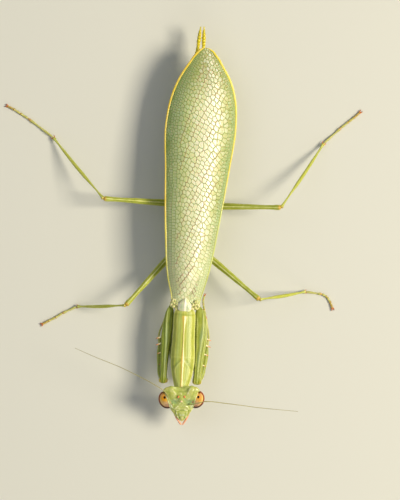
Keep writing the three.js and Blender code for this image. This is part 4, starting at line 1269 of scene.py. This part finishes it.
for side, word in SIDES:
    splay = -0.11 * side + 0.01  # how far the knee end of the shin stands off

    def placed(points):
        return carried(prothorax_place, np.asarray(points, float) * (side, 1, 1))

    def fitted(name, skin, material, slot, *nodes):
        fit(add_piece(f"fore_{name}_{word}", skin, material), slot,
            *(f"fore_{node}_{word}" for node in nodes))

    # hip, and the ring beyond it
    # Painted light: the hip is paler on top and darker underneath, as lit from above.
    hip = limb(placed(path_through(((0.68, -4.85, 2.45), (0.94, -2.5, 2.32), (1.14, -0.2, 2.2)), 50)),
               ((0, 0.2), (0.06, 0.32), (0.5, 0.3), (0.9, 0.24), (1, 0.14)), sides=28,
               tint=lambda s, a, t: 0.1 + 0.3 * t)
    fitted("hip", hip, grasp_cuticle, "leg", "coxa")
    ring = limb(placed(path_through(((1.12, -0.42, 2.2), (1.26, -0.08, 2.38), (1.4, -0.22, 2.72)), 24)),
                ((0, 0.12), (0.25, 0.23), (0.7, 0.24), (1, 0.12)), flat=0.9, tint=0.15, up=(0, 1, 0.3))
    fitted("hip_ring", ring, grasp_cuticle, "leg", "trochanter")

    # thigh
    def thigh_bands(s, a):
        """How far out a spot lies, and how near it is to the crest and to the pale inner stripe."""
        out = side * np.sign(a) * np.abs(a) ** 0.8
        return out, bump_at(out, thigh_crest(s), 0.17), bump_at(out, -0.62, 0.14) * np.clip(s * 12 - 1, 0, 1)

    def thigh_relief(s, a, t):
        out, crest, stripe = thigh_bands(s, a)
        return (0.05 * crest + 0.03 * stripe - 0.03 * bump_at(out, thigh_crest(s) + 0.35, 0.12)) * (t > 0)

    def thigh_tint(s, a, t):
        out, crest, stripe = thigh_bands(s, a)
        beads = 0.75 + 0.25 * np.sin(s * 260)
        tone = (0.55 * crest + 0.7 * stripe * beads - 0.35 * bump_at(out, thigh_crest(s) + 0.32, 0.16)
                - 0.3 * bump_at(out, -0.3, 0.14) - 0.5 * bump_at(out, -0.93, 0.1)
                + 0.9 * bump_at(out, 1.0, 0.07))
        # Painted shade: the right thigh is darker all over, as it lies on the side away from the light.
        duller = 0.45 if side < 0 else 0
        return np.where(t > -0.2, tone * np.clip(s * 6, 0, 1), -0.1) - 0.15 * (s > 0.96) - duller

    def thigh_warmth(s, a, t):
        out, crest, stripe = thigh_bands(s, a)
        knee = np.clip((s - 0.945) / 0.03, 0, 1) * np.clip(np.abs(a) * 1.6 - 0.6, 0, 1)
        beside = bump_at(out, thigh_crest(s) - 0.22, 0.16) * (0.5 + 0.5 * np.sin(s * 19 + 1)) + 0.5 * crest
        return -0.75 * beside * bump_at(s, 0.5, 0.35) * (t > 0) + 0.8 * knee

    run = np.linspace(0, 1, 120)
    half = thigh_half(run) * (1 - 0.08 * (1 - side))
    middle = placed(np.stack([thigh_middle[side](run), THIGH_START - THIGH_LENGTH * run, 2.79 + 0 * run], -1))
    thigh = limb(middle, half, flat=thigh_high(run) / half, sides=72, power=2.5, tint=thigh_tint,
                 warmth=thigh_warmth, relief=thigh_relief)
    lobes = [ellipsoid(tuple(placed((float(thigh_middle[side](0.96)) + out * 0.28, -6.3, 2.77))),
                       (0.13, 0.22, 0.17), tint=0.3, warmth=0.45) for out in (-1, 1)]
    fitted("thigh", merged(thigh, *lobes), grasp_cuticle, "leg", "femur")

    # teeth of the thigh: four long ones outside, and a row of short ones inside
    teeth = []
    for root_plan, tip_plan in THIGH_TEETH:
        root, tip = placed(((*root_plan, 2.74), (*tip_plan, 2.68)))
        root = root - (tip - root) * 0.15
        teeth.append((root, unit_way(tip - root), np.linalg.norm(tip - root)))
    for k in range(SHORT_TEETH):
        s = 0.3 + 0.04 * k
        root = placed((float(thigh_middle[side](s)) + 0.15, THIGH_START - THIGH_LENGTH * s, 2.58))
        teeth.append((root, (0.62 * side, -0.12, -0.77), 0.3 if k % 2 else 0.2))
    fit(spines_along("fore_thigh_teeth_" + word, tooth_shape, tooth_horn, *teeth), "foot")

    # shin, folded back against the thigh, with its hook and its teeth
    middle = path_through(((1.66 + splay, -6.3, 2.45), (1.84 + splay * 0.8, -5.6, 2.36),
                           (2.02 + splay * 0.3, -4.2, 2.34), (2.08, -3.0, 2.36)), 90)
    # Painted shade: most of the shin's face is darker, as it lies low in the shade beside the thigh.
    shin = limb(placed(middle), ((0, 0.12), (0.06, 0.19), (0.4, 0.22), (0.85, 0.2), (1, 0.1)),
                flat=0.95, sides=28,
                tint=lambda s, a, t: (0.15 - 0.6 * bump_at(a * side, -0.2, 0.5)
                                      + 0.5 * bump_at(a * side, 1, 0.15)),
                warmth=lambda s, a, t: 0.5 * np.clip(1 - s * 12, 0, 1) + 0.3 * np.clip(s * 10 - 9, 0, 1))
    fitted("shin", shin, grasp_cuticle, "leg", "tibia")
    hook = path_through(((2.06, -3.08, 2.38), (2.06, -2.72, 2.42), (1.98, -2.44, 2.4), (1.86, -2.28, 2.34)),
                        24)
    hook = limb(placed(hook), ((0, 0.1), (0.5, 0.07), (1, 0.012)), sides=14,
                height=lambda s, a, t: 0.1 + 0.9 * s)
    fitted("hook", hook, hook_horn, "foot")
    teeth = [(placed(middle[int((0.16 + 0.065 * k) * 89)] + (-0.14, 0, 0.06)), (-0.75 * side, 0.35, 0.56),
              0.1 + 0.012 * k) for k in range(SHIN_TEETH)]
    fit(spines_along("fore_shin_teeth_" + word, tooth_shape, tooth_horn, *teeth), "foot")

    # foot: five joints, the first as long as the rest together
    stops = np.array(((2.16, -3.1, 2.3), (2.2, -2.5, 2.14), (1.84, -0.5, 2.06), (1.69, 0.12, 2.05),
                      (1.6, 0.57, 2.06), (1.57, 0.95, 2.08), (1.67, 1.3, 2.1)))
    if side < 0:
        stops[2:, 0] -= (0.28, 0.35, 0.4, 0.45, 0.5)  # this foot is tucked in under the thigh and the wing
    joints = []
    # Painted light: each joint of the foot is paler on top and darker underneath, as lit from above.
    for first, last in ((0, 3), (2, 4), (3, 5), (4, 6), (5, 7)):
        path = path_through(stops[first:last], 40 if first == 0 else 20)
        joints.append(limb(placed(path), ((0, 0.05), (0.08, 0.075), (0.7, 0.075), (0.93, 0.1), (1, 0.06)),
                           sides=16, tint=lambda s, a, t: 0.2 + 0.2 * t,
                           warmth=lambda s, a, t: 0.9 * np.clip((s - 0.86) / 0.08, 0, 1) - 0.3 * (s < 0.6)))
    fitted("foot", merged(*joints), foot_skin, "foot", "tarsus")
    claws = []
    for out in (-1, 1):
        steps = ((0, -0.03, 0), (0.04 + 0.07 * out, 0.12, -0.02), (0.06 + 0.06 * out, 0.22, -0.1))
        claws.append(limb(placed(path_through(stops[-1] + steps, 14)), ((0, 0.04), (0.6, 0.028), (1, 0.008)),
                          sides=10, height=lambda s, a, t: s))
    fitted("claws", merged(*claws), claw_horn, "foot")

# ---- hind wings ----
# Clear fans, folded in lengthwise pleats under the fore wings, with a faint smoky stain.
fan_membrane = cuticle("clear_pleated_membrane", "#c9cfa6", "#e4e6c6", "#9aa67c", pattern_mm=0.8,
                       roughness=0.25)
y = np.linspace(3.55, 20.9, 120)
width = through((3.5, 0.85), (10, 1.4), (16, 1.42), (19.5, 1.0), (21, 0.25))(y)
for side, word in SIDES:
    middle = side * (width / 2 + 0.03)
    rings = body_rings(y, width / 2 * 0.98, wing_roof(middle, y) - 1.3, 0.06, 0.06, x=middle, sides=72,
                       power=2.6)
    x = rings[..., 0]
    pleat = np.cos((x - middle[:, None]) / width[:, None] * 2 * np.pi * 5.5)
    rings[..., 2] += 0.07 * pleat - 0.14 * (x**2 - middle[:, None] ** 2)
    # Painted light: the crests of the pleats carry a painted highlight and the troughs painted shade.
    fan = add_piece("hind_wing_" + word, loft(rings, tint=0.5 * pleat), fan_membrane)
    fit(fan, "hindwing", "hindwing_" + word)

# ---- abdomen ----
# A soft flattened body of ten overlapping rings, each with a firmer back edge that slides over the next.
RING_STARTS = (6.95, 8.2, 9.9, 11.7, 13.5, 15.2, 16.8, 18.2, 19.2, 20.0, 20.6)


def abdomen_drift(y):
    return -0.42 * ((y - 6.9) / 13.7) ** 2


abdomen_half = through((6.9, 0.95), (9, 1.38), (13, 1.72), (16, 1.64), (18.8, 1.15), (20.2, 0.66),
                       (20.6, 0.42))
abdomen_middle = through((6.9, 2.25), (14, 2.2), (20.6, 2.05))
abdomen_above = through((6.9, 0.7), (10, 0.64), (13, 0.47), (17, 0.28), (20.6, 0.17))
abdomen_below = through((6.9, 0.56), (13, 0.68), (18, 0.56), (20.6, 0.26))
ring_share = np.concatenate([np.linspace(0, 0.86, 12), (0.92, 0.96, 0.99)])
share = np.tile(ring_share, len(RING_STARTS) - 1)
y = np.repeat(RING_STARTS[:-1], len(ring_share)) + np.repeat(np.diff(RING_STARTS), len(ring_share)) * share
step = np.interp(share, (0, 0.12, 0.86, 0.96, 1), (-0.045, -0.01, 0.02, 0.03, -0.02))
edge = np.interp(share, (0, 0.8, 0.9, 1), (-0.5, 0.05, 0.9, 0.4))
rings = body_rings(y, abdomen_half(y) + step, abdomen_middle(y), abdomen_above(y) + step,
                   abdomen_below(y) + step, x=abdomen_drift(y), sides=72, power=2.2)
side_share = (rings[..., 0] - abdomen_drift(y)[:, None]) / abdomen_half(y)[:, None]
fold = bump_at(np.abs(side_share), 0.93, 0.05)  # the soft fold between back and belly plates
rings[..., 0] -= 0.05 * fold * np.sign(side_share)
# Each ring is paler at its firmer back edge and at the side fold, and painted darker at its front as shade
# where it tucks under the ring before.
abdomen = loft(rings, tint=0.5 * edge[:, None] + 0.5 * fold + 0.1 * np.cos(side_share * 9))
abdomen_skin = cuticle("soft_green_abdomen", "#b4be6c", "#e2e2a6", "#8a9d4c", warm="#d8c46a", pattern_mm=0.5)
fit(add_piece("abdomen_rings", abdomen, abdomen_skin), "soft_body", "abdomen")

# ---- cerci ----
# Two bright yellow tail feelers of short beads, each bead a little thinner than the last, fringed with fine
# hairs.
cercus_skin = cuticle("bright_yellow_tail_feeler", "#e6d41c", "#f2e668", "#b8a410", pattern_mm=0.3,
                      grain_mm=0.03, roughness=0.3)
bead_cup = turned_profile("cercus_bead", 18, (0.6, -0.5), (0.86, -0.42), (1.0, -0.1), (1.0, 0.2),
                          (0.84, 0.44), (0.6, 0.5))
hair_shape = turned_profile("hair", 4, (0.05, -0.05), (0.045, 0.3), (0.03, 0.7), (0.008, 1.0))
hair_horn = cuticle("pale_hair", "#d8d49a", "#f2eec6", "#b0a860", pattern_mm=0.5, roughness=0.5)
TAIL_BEADS, TAIL_HAIRS = 15, 150
drift_end = float(abdomen_drift(RING_STARTS[-1]))
run = np.linspace(0, 1, 120)
girth = through((0, 0.22), (0.45, 0.2), (0.58, 0.14), (0.66, 0.17), (0.9, 0.13), (1, 0.06))(run)
for side, word in SIDES:
    stops = ((0.3, 20.45, 2.05), (0.26, 22.2, 2.1), (0.16, 24.25, 2.42))
    path = path_through(np.array(stops) * (side, 1, 1) + (drift_end, 0, 0), len(run))
    piece = segments_along("tail_feeler_" + word, path, girth, 0.5 - 0.9 * run, bead_cup, TAIL_BEADS,
                           cercus_skin, overlap=1.25)
    fit(piece, "cercus", "cercus_" + word)
    chance = np.random.default_rng(30 + side)
    hairs = []
    for _ in range(TAIL_HAIRS):
        i = int(chance.uniform(8, 118))
        turn = chance.uniform(0, 2 * math.pi)
        out = np.array((math.cos(turn), 0.0, math.sin(turn)))
        hairs.append((path[i] + out * girth[i] * 0.8, unit_way(out + (0, 1.1, 0))))
    lengths = chance.uniform(0.09, 0.17, TAIL_HAIRS)
    hairs = ((*hair, length) for hair, length in zip(hairs, lengths))
    fit(spines_along("tail_hairs_" + word, hair_shape, hair_horn, *hairs), "cercus")

# ---- walking legs ----
# Four slender stilts. Each thigh is ridged, with a white keel, partly a painted highlight, between olive
# bands, and an underside painted darker as shade; each shin is thin at the knee and fuller in the middle,
# with two spurs at the ankle; each foot has five joints on flat pads and ends in two claws.
HIP_END = 1.28
ANKLE_HEIGHT = 0.26
FOOT_AXIS = 0.115
HAIRS_TO_THE_SQUARE = 14 / MM**2
HAIR_LENGTH = 0.13 * MM
HAIR_LEAN = 0.9
# Side, hip in plan, knee height, thigh length and direction, shin length and direction, then the foot's
# joints.
WALKING_LEGS = {
    "middle_right": (-1, 2.75, 4.62, 3.2, 6.87, -127.3, 5.27, -173.5,
                     ((1.47, -151), (0.75, -143), (0.68, -150), (0.55, -147))),
    "middle_left": (1, 2.75, 4.62, 3.45, 6.87, -35.6, 5.27, 13.5,
                    ((1.5, -4), (0.5, -24), (0.6, -55), (0.5, -66))),
    "hind_right": (-1, 6.7, 8.68, 2.9, 6.9, -179.2, 7.6, 134.2,
                   ((2.78, 147.5), (0.85, 152), (0.73, 152), (0.55, 158))),
    "hind_left": (1, 6.7, 8.68, 3.4, 6.9, 3.2, 7.6, 60.6, ((2.07, 46.5), (0.85, 43), (0.7, 42), (0.6, 47))),
}
stilt_cuticle = cuticle("ridged_green_stilt", "#b2ba34", "#e8e8a6", "#82912a", warm="#d8a040", cool="#b9bd3e",
                        pattern_mm=0.5, grain_mm=0.05, roughness=0.38)


def plan_step(start, length, angle, height):
    """The far end of a straight segment, by its length, its direction in plan and the height it reaches."""
    reach = math.sqrt(max(length**2 - (height - start[2]) ** 2, 0))
    turn = math.radians(angle)
    return np.array((start[0] + reach * math.cos(turn), start[1] + reach * math.sin(turn), height))


bristle_group, given, result = node_group("bristles_on", ("Bristle", "Object"), ("Seed", "Int"),
                                          ("Finish", "Material"))
scatter = add_node(bristle_group, "GeometryNodeDistributePointsOnFaces",
                   {"Mesh": given["Geometry"], "Density": HAIRS_TO_THE_SQUARE, "Seed": given["Seed"]})
limb_way = add_node(bristle_group, "GeometryNodeInputNamedAttribute", {"Name": "limb_way"},
                    data_type="FLOAT_VECTOR")
leaning = add_node(bristle_group, "ShaderNodeVectorMath", {0: limb_way.outputs[0], "Scale": HAIR_LEAN},
                   operation="SCALE")
whole_way = add_node(bristle_group, "ShaderNodeVectorMath",
                     {0: scatter.outputs["Normal"], 1: leaning.outputs[0]}, operation="ADD")
vary = add_node(bristle_group, "FunctionNodeRandomValue", {2: 0.6, 3: 1.2, "Seed": given["Seed"]},
                data_type="FLOAT")
sized = add_node(bristle_group, "ShaderNodeMath", {0: vary.outputs[1], 1: HAIR_LENGTH}, operation="MULTIPLY")
set_along(bristle_group, scatter.outputs["Points"], given["Bristle"], whole_way.outputs[0], sized.outputs[0],
          given["Finish"], result)


def stilt_tint(s, a, t):
    # Painted light: the white keel along the top is partly a painted highlight, and the underside is painted
    # darker as shade.
    keel = 1.25 * bump_at(a, -0.1, 0.13) * np.clip(1.15 - s * 0.5, 0, 1)
    olive = -0.75 * (bump_at(a, 0.36, 0.15) + bump_at(a, -0.5, 0.15))
    return np.where(t > 0, keel + olive + 0.35 * np.abs(a) ** 6, -0.2)


def shin_warmth(s, a, t):
    return (0.8 * np.clip(1 - s * 30, 0, 1) + 0.85 * np.clip((s - 0.965) / 0.02, 0, 1)
            - 0.75 * bump_at(s, 0.5, 0.5))


for number, (leg, plan) in enumerate(WALKING_LEGS.items()):
    side, hip_from, hip_to, knee_height, thigh_length, thigh_angle, shin_length, shin_angle, foot_steps = plan
    hip = np.array((side * 0.62, hip_from, 1.55))
    joint = np.array((side * 1.2, hip_to, HIP_END))
    knee = plan_step(joint, thigh_length, thigh_angle, knee_height)
    ankle = plan_step(knee, shin_length, shin_angle, ANKLE_HEIGHT)

    # hip, a tapering cone of soft plates, and the small ring beyond it
    path = path_through((hip - (0, 0.1, 0), (hip * 0.45 + joint * 0.55) + (0, 0, -0.08), joint), 44)
    # Painted light: the hip is paler on top and darker underneath, as lit from above.
    skin = limb(path, ((0, 0.22), (0.15, 0.34), (0.6, 0.29), (0.85, 0.23), (0.9, 0.2), (0.95, 0.24),
                       (1, 0.2)), sides=28, tint=lambda s, a, t: 0.1 + 0.2 * t - 0.6 * bump_at(s, 0.89, 0.02))
    fit(add_piece(leg + "_hip", skin, stilt_cuticle), "leg", leg + "_coxa")

    # thigh, four-ridged between its ends
    thigh_path = path_through((joint, joint * 0.5 + knee * 0.5 + (0, 0, 0.06), knee), 110)
    run = np.linspace(0, 1, len(thigh_path))[:, None]
    girth = through((0, 0.17), (0.03, 0.22), (0.15, 0.275), (0.5, 0.24), (0.9, 0.2), (0.96, 0.23),
                    (0.99, 0.19), (1, 0.1))(run)
    ridges = 1 + 0.07 * np.cos(4 * turns(32) + 0.4) * np.clip(np.sin(run * np.pi) * 2, 0, 1)
    thigh = limb(thigh_path, girth * ridges, sides=32, tint=stilt_tint,
                 warmth=lambda s, a, t: 0.75 * np.clip((s - 0.955) / 0.03, 0, 1) - 0.7 * np.abs(a) ** 5)
    fit(add_piece(leg + "_thigh", thigh, stilt_cuticle), "leg", leg + "_femur")

    # shin
    bow = np.cross(ankle - knee, (0, 0, 1)) / np.linalg.norm(ankle - knee) * 0.06
    shin_path = path_through((knee, knee + (ankle - knee) * 0.06 + (0, 0, 0.02),
                              (knee + ankle) / 2 + bow * side, ankle), 120)
    # Painted light: the shin is paler along its top and darker on its flanks, as lit from above.
    shin = limb(shin_path, ((0, 0.12), (0.012, 0.17), (0.03, 0.13), (0.06, 0.105), (0.4, 0.15), (0.75, 0.125),
                            (0.94, 0.1), (0.98, 0.14), (1, 0.08)), power=2.2, warmth=shin_warmth,
                tint=lambda s, a, t: 0.55 * bump_at(a, 0, 0.45) * (t > 0) - 0.3 * np.abs(a) ** 4 - 0.1)
    fit(add_piece(leg + "_shin", shin, stilt_cuticle), "leg", leg + "_tibia")

    # foot
    stops = [ankle]
    for length, angle in foot_steps:
        stops.append(plan_step(stops[-1], length, angle, FOOT_AXIS))
    stops.insert(-1, stops[-2] + (stops[-1] - stops[-2]) * 0.45)
    # Painted light: each joint of the foot is paler on top and darker underneath, as lit from above.
    joints = []
    for k in range(len(stops) - 1):
        line = path_through((stops[k], stops[k + 1]), 22 if k else 40)
        if k == 0:
            fall = np.minimum(1, np.linspace(0, 1, len(line)) * 1.6)
            line[:, 2] = ankle[2] - 0.05 + (FOOT_AXIS - ankle[2] + 0.05) * fall
        joints.append(limb(line, ((0, 0.05), (0.1, 0.082), (0.7, 0.08), (0.92, 0.112), (1, 0.06)), sides=18,
                           tint=lambda s, a, t: 0.15 + 0.2 * t - 0.12 * k,
                           warmth=lambda s, a, t: 0.12 * k - 0.2 + 0.75 * np.clip((s - 0.86) / 0.06, 0, 1)))
        if k < 4:
            joints.append(ellipsoid(tuple(line[-4] - (0, 0, 0.045)), (0.085, 0.085, 0.07), rows=8, sides=16,
                                    tint=0.4, warmth=0.5))
    foot = merged(*joints)
    foot[0][:, 2] = np.maximum(foot[0][:, 2], 0.0)  # the pads rest flat on the floor
    fit(add_piece(leg + "_foot", foot, foot_skin), "foot", leg + "_tarsus")

    # claws and ankle spurs
    claw_way, spur_way = unit_way(stops[-1] - stops[-2]), unit_way(ankle - knee)
    claw_aside, spur_aside = np.array((-claw_way[1], claw_way[0], 0)), np.cross(spur_way, (0, 0, 1))
    horns = []
    for out in (-1, 1):
        line = (stops[-1] - claw_way * 0.05,
                stops[-1] + claw_way * 0.14 + claw_aside * 0.1 * out + (0, 0, 0.03),
                stops[-1] + claw_way * 0.27 + claw_aside * 0.09 * out - (0, 0, 0.08))
        horns.append(limb(path_through(line, 16), ((0, 0.06), (0.5, 0.045), (1, 0.008)), sides=12,
                          height=lambda s, a, t: s))
        root = ankle - spur_way * 0.12 + spur_aside * 0.09 * out
        line = (root, root + spur_way * 0.12 + spur_aside * 0.07 * out,
                root + spur_way * 0.3 + spur_aside * 0.09 * out)
        horns.append(limb(path_through(line, 12), ((0, 0.045), (0.5, 0.032), (1, 0.008)), sides=10,
                          height=lambda s, a, t: 0.6 * s))
    claws = merged(*horns)
    claws[0][:, 2] = np.maximum(claws[0][:, 2], 0.0)
    fit(add_piece(leg + "_claws", claws, claw_horn), "foot")

    # fine hairs, leaning along the limb they stand on
    skins = [(corners, faces, {"limb_way": np.broadcast_to(unit_way(way), corners.shape)})
             for (corners, faces, _), way
             in ((thigh, knee - joint), (shin, ankle - knee), (foot, stops[-1] - ankle))]
    ground = add_piece(leg + "_hairs_ground", merged(*skins), hair_horn)
    hairs = grown(leg + "_hairs", ground, bristle_group, Bristle=hair_shape, Seed=50 + number,
                  Finish=hair_horn)
    fit(hairs, "leg")
